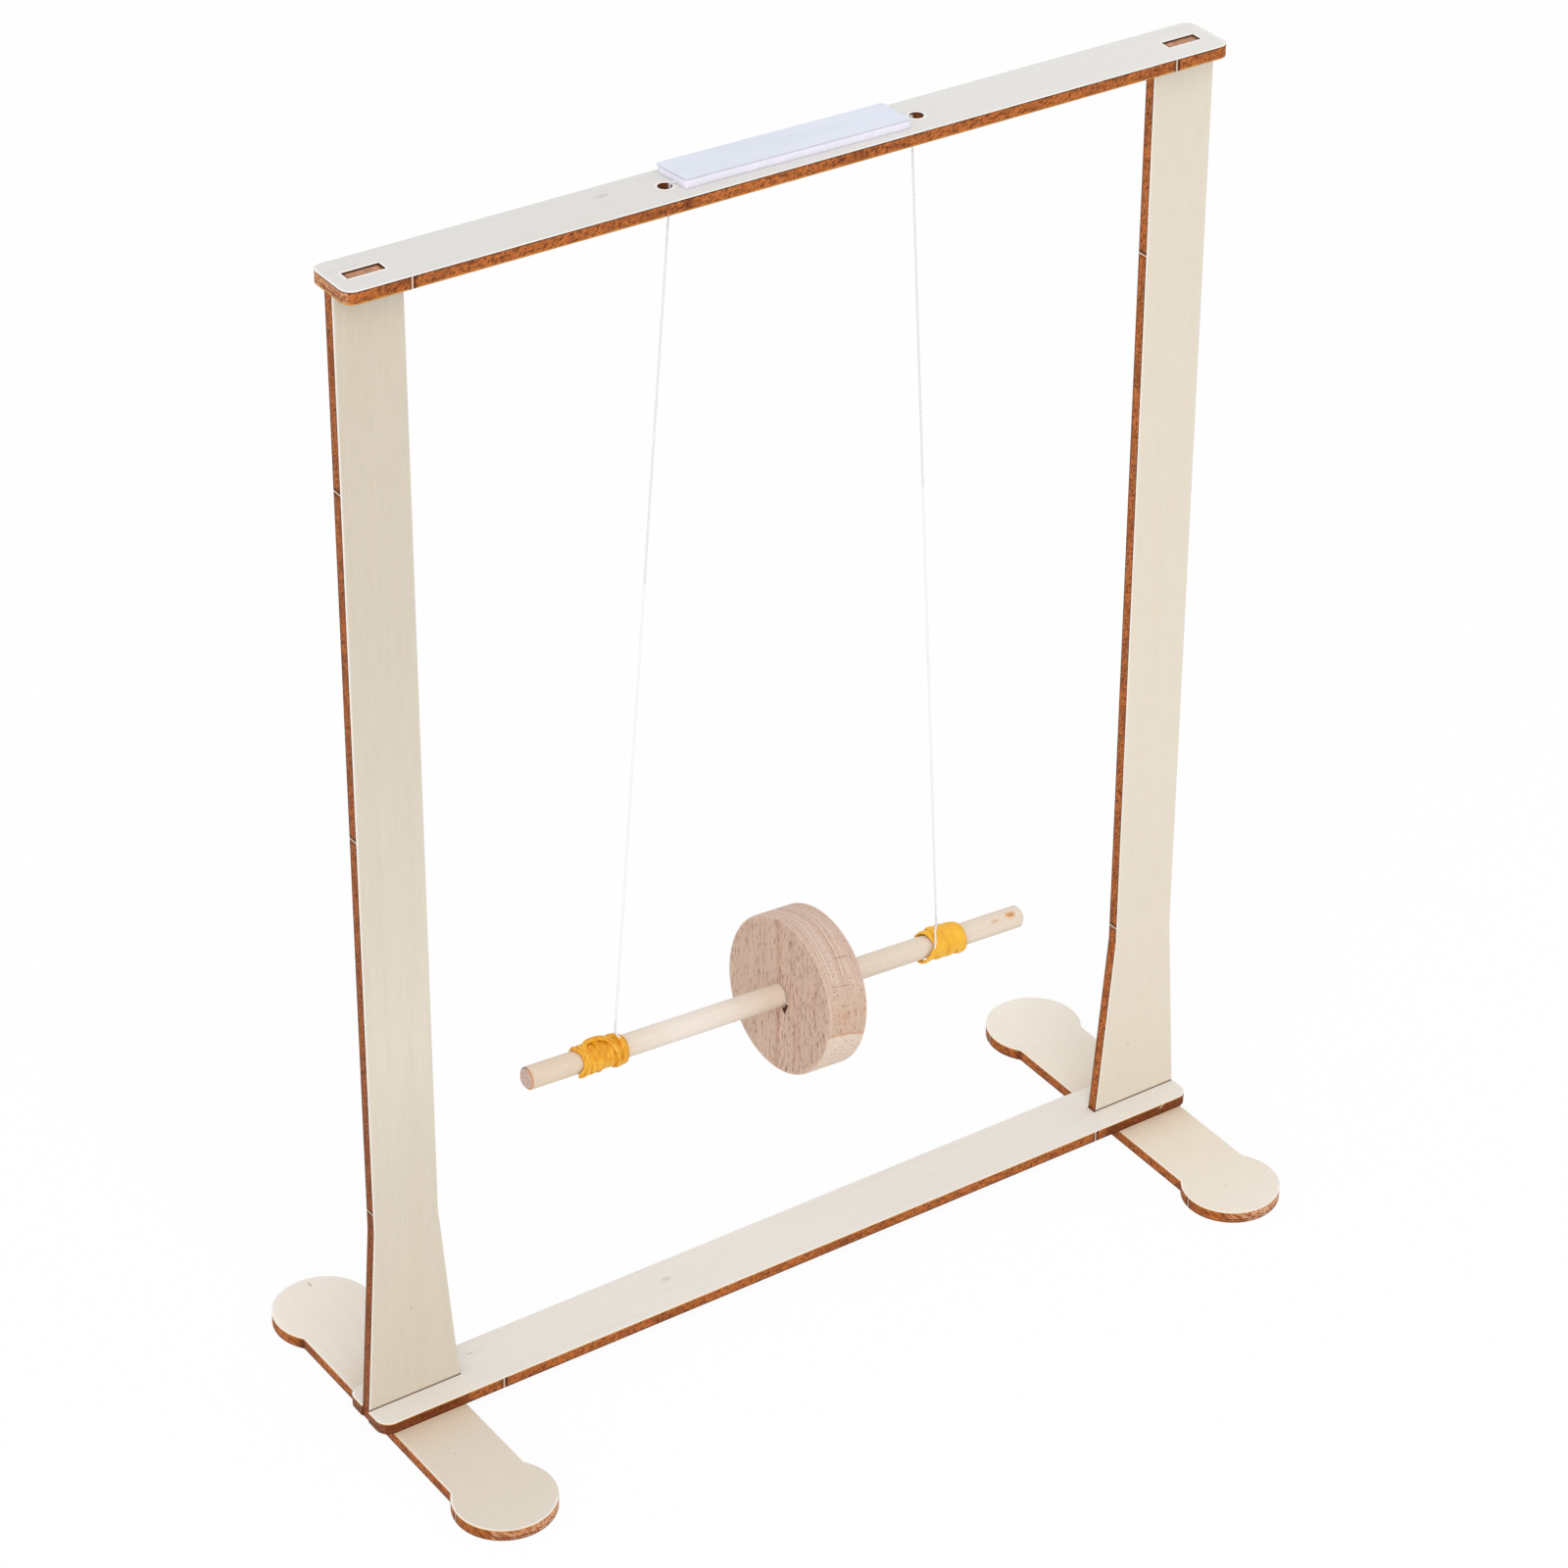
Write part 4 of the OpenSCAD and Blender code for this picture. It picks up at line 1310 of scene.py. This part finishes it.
# Each band is one endless strand. A stop is: along the rod, degrees over its front from its top,
# distance from its axis, and half the width of the strand there.
BAND_ROUTES = {
    "left": [
        (-49.3, 0, 3.3, 0.75), (-49.2, 45, 3.32, 0.75), (-49.3, 90, 3.5, 0.75), (-49.4, 125, 3.7, 0.75),
        (-49.5, 180, 3.4, 0.75), (-49.9, 270, 3.3, 0.75), (-50.6, 360, 3.3, 0.75), (-50.5, 450, 3.4, 0.75),
        (-50.8, 540, 3.3, 0.75), (-51.3, 630, 3.3, 0.75), (-52.0, 720, 3.42, 0.8), (-51.9, 810, 3.3, 0.8),
        (-52.2, 900, 3.3, 0.8), (-52.8, 990, 3.3, 0.8), (-53.3, 1080, 3.52, 0.85), (-53.3, 1170, 3.32, 0.8),
        (-53.7, 1260, 3.3, 0.8), (-54.2, 1350, 3.3, 0.8), (-54.7, 1440, 3.54, 0.85),
        (-54.8, 1530, 3.32, 0.8), (-55.2, 1620, 3.3, 0.8), (-55.7, 1710, 3.3, 0.8),
        (-56.6, 1800, 3.52, 0.9), (-56.6, 1890, 3.35, 0.9), (-56.8, 1980, 3.35, 0.9),
        (-57.4, 2070, 3.3, 0.9), (-58.2, 2160, 3.45, 0.85), (-58.1, 2190, 3.38, 0.85),
        (-57.8, 2215, 3.42, 0.85), (-57.5, 2240, 3.45, 0.85), (-57.3, 2265, 3.5, 0.85),
        (-57.6, 2310, 3.45, 0.8), (-58.3, 2400, 3.35, 0.8), (-59.2, 2500, 3.36, 0.8),
        (-59.35, 2525, 3.38, 0.8), (-59.3, 2555, 3.45, 0.8), (-59.1, 2580, 3.5, 0.8),
        (-58.8, 2600, 3.55, 0.8), (-58.7, 2625, 3.62, 0.8), (-58.8, 2670, 3.55, 0.65),
        (-59.5, 2760, 3.35, 0.65), (-60.2, 2865, 3.36, 0.75), (-60.3, 2895, 3.38, 0.75),
        (-60.25, 2925, 3.42, 0.75), (-60.35, 2955, 3.5, 0.75), (-60.4, 2985, 3.62, 0.75),
        (-60.3, 3025, 3.55, 0.7), (-60.5, 3100, 3.36, 0.65), (-61.3, 3190, 3.4, 0.6),
        (-62.0, 3222, 3.45, 0.55), (-61.8, 3240, 3.45, 0.6), (-61.4, 3258, 3.36, 0.62),
        (-61.15, 3290, 3.36, 0.62), (-61.1, 3312, 3.38, 0.62), (-61.3, 3330, 3.45, 0.65),
        (-61.9, 3346, 3.6, 0.6), (-62.6, 3357, 3.72, 0.5), (-62.3, 3370, 3.75, 0.5),
        (-61.3, 3374, 3.75, 0.55), (-60.4, 3366, 3.6, 0.6), (-59.9, 3340, 3.3, 0.6),
        (-59.8, 3300, 3.25, 0.6), (-59.8, 3262, 3.4, 0.6), (-59.7, 3243, 3.95, 0.65),
        (-59.0, 3232, 4.25, 0.72), (-57.7, 3230, 4.4, 0.9), (-56.0, 3231, 4.45, 1.0),
        (-54.6, 3237, 4.4, 0.95), (-53.7, 3247, 4.3, 0.85), (-53.2, 3259, 4.2, 0.75),
        (-52.75, 3273, 4.12, 0.66), (-52.4, 3290, 4.1, 0.66), (-52.05, 3306, 4.08, 0.66),
        (-51.75, 3324, 4.05, 0.64), (-51.5, 3344, 4.0, 0.62), (-51.4, 3362, 3.9, 0.6),
        (-51.2, 3420, 3.8, 0.65), (-51.0, 3500, 3.75, 0.7), (-50.9, 3570, 3.7, 0.7),
        (-50.6, 3597, 3.72, 0.7), (-50.3, 3612, 3.9, 0.72), (-50.1, 3630, 3.95, 0.75),
        (-49.95, 3650, 3.92, 0.78), (-49.95, 3670, 3.9, 0.78), (-50.0, 3690, 3.9, 0.75),
        (-50.2, 3712, 3.9, 0.7), (-50.4, 3735, 3.8, 0.7), (-51.8, 3800, 3.8, 0.7), (-54.2, 3880, 3.9, 0.7),
        (-55.9, 3940, 4.0, 0.75), (-56.5, 3960, 4.0, 0.8), (-56.4, 3985, 3.95, 0.8),
        (-56.3, 4010, 3.8, 0.78), (-56.5, 4035, 3.7, 0.72), (-56.7, 4060, 3.7, 0.7),
        (-56.6, 4095, 3.65, 0.7), (-55.0, 4150, 3.8, 0.7), (-52.4, 4220, 3.8, 0.7), (-50.2, 4280, 3.6, 0.7),
    ],
    "right": [
        (55.3, 0, 3.32, 0.95), (55.3, 45, 3.34, 0.95), (55.4, 90, 3.4, 0.9), (55.6, 135, 3.5, 0.85),
        (55.6, 180, 3.4, 0.78), (55.0, 270, 3.32, 0.78), (54.2, 360, 3.32, 0.8), (54.3, 450, 3.34, 0.8),
        (54.4, 540, 3.34, 0.8), (53.7, 630, 3.32, 0.8), (52.9, 720, 3.32, 0.8), (53.0, 810, 3.32, 0.8),
        (53.0, 900, 3.32, 0.8), (52.3, 990, 3.32, 0.8), (51.5, 1080, 3.32, 0.8), (51.7, 1170, 3.32, 0.8),
        (51.7, 1260, 3.32, 0.8), (50.9, 1350, 3.32, 0.8), (50.0, 1440, 3.32, 0.8), (50.3, 1530, 3.32, 0.8),
        (50.3, 1620, 3.32, 0.8), (49.5, 1710, 3.32, 0.8), (48.4, 1800, 3.32, 0.8), (48.7, 1890, 3.32, 0.8),
        (48.6, 1980, 3.32, 0.8), (49.6, 2070, 3.5, 0.9), (53.0, 2130, 3.8, 1.2), (54.2, 2160, 3.98, 1.65),
        (54.45, 2190, 4.05, 1.75), (54.65, 2215, 3.95, 1.65), (54.85, 2240, 3.95, 1.6),
        (55.1, 2265, 3.95, 1.5), (55.4, 2295, 3.9, 1.25), (55.0, 2360, 3.75, 1.1), (52.6, 2440, 3.9, 1.1),
        (50.9, 2505, 4.1, 1.3), (51.1, 2525, 4.08, 1.6), (51.5, 2550, 4.0, 1.7), (51.9, 2575, 3.9, 1.7),
        (52.2, 2600, 3.8, 1.6), (52.4, 2630, 3.7, 1.35), (51.4, 2700, 3.7, 1.1), (49.6, 2790, 3.9, 1.1),
        (48.5, 2860, 4.15, 1.15), (48.2, 2885, 4.2, 1.2), (48.5, 2910, 4.15, 1.25),
        (49.0, 2935, 4.05, 1.25), (49.4, 2960, 3.9, 1.2), (49.6, 2990, 3.7, 1.1), (48.2, 3050, 3.6, 0.9),
        (46.4, 3110, 3.4, 0.9), (45.9, 3170, 3.45, 1.0), (46.2, 3202, 3.55, 1.2), (46.6, 3225, 3.7, 1.35),
        (46.9, 3248, 3.7, 1.4), (47.2, 3265, 3.62, 1.4), (47.4, 3286, 3.55, 1.35), (47.7, 3306, 3.5, 1.25),
        (48.2, 3330, 3.48, 1.1), (48.7, 3352, 3.5, 1.0), (49.2, 3381, 3.5, 0.9), (49.0, 3450, 3.5, 0.9),
        (48.4, 3540, 3.7, 0.9), (48.4, 3565, 4.1, 0.95), (48.7, 3590, 4.2, 1.0), (48.7, 3608, 4.15, 1.0),
        (48.5, 3626, 4.05, 1.2), (48.1, 3646, 3.92, 1.4), (47.6, 3666, 3.8, 1.5), (46.9, 3681, 3.72, 1.5),
        (46.1, 3696, 3.7, 1.4), (45.3, 3710, 3.72, 1.2), (44.6, 3725, 3.72, 1.0), (44.3, 3741, 3.68, 0.85),
        (44.6, 3790, 3.45, 0.9), (45.9, 3850, 3.4, 0.9), (49.0, 3895, 3.45, 0.8), (53.0, 3930, 3.45, 0.8),
    ],
}

# How finely a strand is drawn: millimetres for each step, and sides. Half its thickness is STRAND_LEAST on
# the rod itself. Further out it is a share of the height over UNDER_STRAND, a distance from the rod's axis.
STRAND_STEP = 0.4
STRAND_SIDES = 14
STRAND_LEAST = 0.42
STRAND_SHARE = 0.62
UNDER_STRAND = 3.55


def endless(stops, step):
    """The sections of a closed strand through stops given round the rod, as matrices in metres."""
    count = len(stops)
    laps = 360 * round((stops[-1][1] + 40) / 360)
    spots = []
    for i in range(count):
        a, b, c, d = (Vector(stops[(i + k) % count]) for k in (-1, 0, 1, 2))
        if i == 0:
            a.y -= laps
        if i == count - 1:
            c.y += laps
        if i >= count - 2:
            d.y += laps
        travel = math.hypot(c.x - b.x, math.radians(c.y - b.y) * (b.z + c.z) / 2)
        spots += between_stops(a, b, c, d, max(1, round(travel / step)))
    sections = []
    for i, spot in enumerate(spots):
        middle = on_rod(*spot[:3])
        back, on = spots[i - 1], spots[(i + 1) % len(spots)]
        ahead = (on_rod(*on[:3]) - on_rod(*back[:3])).normalized()
        out = (on_rod(spot.x, spot.y, spot.z + 1) - middle).normalized()
        side = ahead.cross(out).normalized()
        out = side.cross(ahead)
        thick = min(max(STRAND_LEAST, (spot.z - UNDER_STRAND) * STRAND_SHARE), spot.z - ROD_RADIUS - 0.03)
        axes = Matrix((side * spot.w * MM, out * thick * MM, ahead * MM)).transposed().to_4x4()
        sections.append(Matrix.Translation(middle) @ axes)
    return sections


def sweep(name, sections, sides):
    """A closed strand: a ring is drawn out from section to section and joined to its start."""
    form = bmesh.new()
    bmesh.ops.create_circle(form, segments=sides, radius=1, matrix=sections[0])
    first = edges = form.edges[:]
    for here, there in zip(sections, sections[1:]):
        drawn = bmesh.ops.extrude_edge_only(form, edges=edges)["geom"]
        ring = [v for v in drawn if isinstance(v, bmesh.types.BMVert)]
        ends = set(ring)
        edges = [e for e in drawn if isinstance(e, bmesh.types.BMEdge) and ends.issuperset(e.verts)]
        bmesh.ops.transform(form, matrix=there @ here.inverted(), verts=ring)
    bmesh.ops.bridge_loops(form, edges=first + edges)
    return closed_piece(name, form)


def rubber_material(look):
    made, b, surface = new_material("yellow rubber")
    b = RodBench(b.tree)
    fine = b.noise(b.spot, (1.6, 0.45, 0.45))
    cloud = b.noise(b.spot, 0.4, 1.0)
    # Patches in the crease colour: painted shade of the creases between strands
    colour = b.mix(b.between(fine, 0.38, 0.62), look.crease, look.colour)
    colour = b.mix(b.times(b.between(cloud, 0.4, 0.65), 0.6), colour, look.highlight)
    right = b.over(b.axis[0], 0.0)
    colour = b.mix(b.times(right, 0.55), colour, look.right)
    finish_surface(b, surface, colour, 0.45, b.bump(fine, 0.3, 0.2), Specular_IOR_Level=0.35)
    return made


class PENDULUM_OT_bands(bpy.types.Operator):
    """Wind the two rubber bands round the rod, strand over strand"""

    bl_idname = "pendulum.bands"
    bl_label = "Rubber bands"

    def execute(self, context):
        look = context.scene.pendulum_band
        rubber = rubber_material(look)
        for side, stops in BAND_ROUTES.items():
            band = sweep(f"{side}_wound_band", endless(stops, STRAND_STEP), STRAND_SIDES)
            stand_for(band, f"{side}_rubber_band", "wheel", rubber)
        return {"FINISHED"}


# Stage

# The camera, fitted to the photograph: places in metres, lens and film in millimetres, roll in radians
CAMERA_PLACE = Vector((-0.588996, -0.868315, 0.807209))
CAMERA_AIM = Vector((0.071027, 0.000028, 0.16239))
CAMERA_ROLL = 0.033
CAMERA_LENS = 118.246
CAMERA_FILM = 36
CAMERA_SHIFT = (-0.15625, -0.1)

# How far the floor reaches, in metres, and what share of it is plain white to the camera
FLOOR_REACH = 6
FLOOR_GLOW = 0.93


def floor_material(look):
    """White to the camera, and still a floor that takes the shadow and throws light back up."""
    made, b, surface = new_material("studio floor")
    mottle = b.noise(b.object_place(), 3.0)
    colour = b.mix(mottle, look.floor, shaded(look.floor, 1.01))
    shader = b.node("ShaderNodeBsdfDiffuse", {"Color": colour, "Roughness": 0.5})
    glow = b.node("ShaderNodeEmission", {"Color": (1, 1, 1, 1), "Strength": 1.0})
    share = b.times(b.backdrop_rays(), FLOOR_GLOW)
    both = b.node("ShaderNodeMixShader", {0: share, 1: shader.outputs[0], 2: glow.outputs[0]})
    b.feed(surface, both.outputs[0])
    return made


def area_lamp(name, place, aim, size, power):
    lamp = bpy.data.lights.new(name, "AREA")
    lamp.shape = "DISK"
    lamp.size = size
    lamp.energy = power
    made = put(name, lamp)
    made.location = place
    made.rotation_mode = "QUATERNION"
    made.rotation_quaternion = (Vector(aim) - Vector(place)).to_track_quat("-Z", "Y")


class PENDULUM_OT_stage(bpy.types.Operator):
    """Set up the camera, the pale floor and the soft studio light"""

    bl_idname = "pendulum.stage"
    bl_label = "Camera, floor and light"

    def execute(self, context):
        scene = context.scene
        look = scene.pendulum_stage

        lens = bpy.data.cameras.new("camera")
        lens.lens = CAMERA_LENS
        lens.sensor_width = CAMERA_FILM
        lens.shift_x, lens.shift_y = CAMERA_SHIFT
        lens.clip_end = 50
        camera = put("camera", lens)
        camera.location = CAMERA_PLACE
        camera.rotation_mode = "QUATERNION"
        ahead = (CAMERA_AIM - CAMERA_PLACE).to_track_quat("-Z", "Y")
        camera.rotation_quaternion = ahead @ Euler((0, 0, CAMERA_ROLL)).to_quaternion()
        scene.camera = camera
        scene.view_settings.view_transform = "Standard"

        form = bmesh.new()
        bmesh.ops.create_grid(form, x_segments=12, y_segments=12, size=FLOOR_REACH)
        floor = add_piece("studio_floor", form)
        floor.data.materials.append(floor_material(look))

        world = bpy.data.worlds.new("soft daylight")
        scene.world = world
        world.use_nodes = True
        b = Bench(world.node_tree)
        world.node_tree.nodes.clear()
        strength = b.plus(look.daylight, b.times(b.backdrop_rays(), 1 - look.daylight))
        sky = b.node("ShaderNodeBackground", {"Color": (1, 1, 1, 1), "Strength": strength})
        b.feed(world.node_tree.nodes.new("ShaderNodeOutputWorld").inputs["Surface"], sky.outputs[0])

        area_lamp("key lamp", (-0.7, -1.5, 2.0), (0, 0, 0.15), 1.6, look.key)
        area_lamp("fill lamp", (-1.7, -1.1, 0.6), (0, 0, 0.12), 1.2, look.fill)
        return {"FINISHED"}


# Panel and registration

STEPS = ["stage", "threads", "plywood", "tape", "wheel", "bands"]
LOOKS = {
    "pendulum_plywood": PlywoodLook,
    "pendulum_thread": ThreadLook,
    "pendulum_tape": TapeLook,
    "pendulum_wheel": WheelLook,
    "pendulum_band": BandLook,
    "pendulum_stage": StageLook,
}


class PENDULUM_PT_sidebar(bpy.types.Panel):
    """Makes the pendulum's pieces one after another"""

    bl_label = "Maxwell pendulum"
    bl_idname = "PENDULUM_PT_sidebar"
    bl_space_type = "VIEW_3D"
    bl_region_type = "UI"
    bl_category = "Pendulum"

    def draw(self, context):
        column = self.layout.column()
        for step in STEPS:
            column.operator(f"pendulum.{step}")
        for name, group in LOOKS.items():
            box = self.layout.box()
            for key in group.__annotations__:
                box.prop(getattr(context.scene, name), key)


OPERATORS = [
    PENDULUM_OT_stage,
    PENDULUM_OT_threads,
    PENDULUM_OT_plywood,
    PENDULUM_OT_tape,
    PENDULUM_OT_wheel,
    PENDULUM_OT_bands,
]


def register():
    for group in LOOKS.values():
        bpy.utils.register_class(group)
    for operator in OPERATORS:
        bpy.utils.register_class(operator)
    bpy.utils.register_class(PENDULUM_PT_sidebar)
    for name, group in LOOKS.items():
        setattr(bpy.types.Scene, name, bpy.props.PointerProperty(type=group))


def unregister():
    for name in LOOKS:
        delattr(bpy.types.Scene, name)
    bpy.utils.unregister_class(PENDULUM_PT_sidebar)
    for operator in reversed(OPERATORS):
        bpy.utils.unregister_class(operator)
    for group in LOOKS.values():
        bpy.utils.unregister_class(group)


def main():
    register()
    make_groups()
    for step in STEPS:
        getattr(bpy.ops.pendulum, step)()


if __name__ == "__main__":
    main()
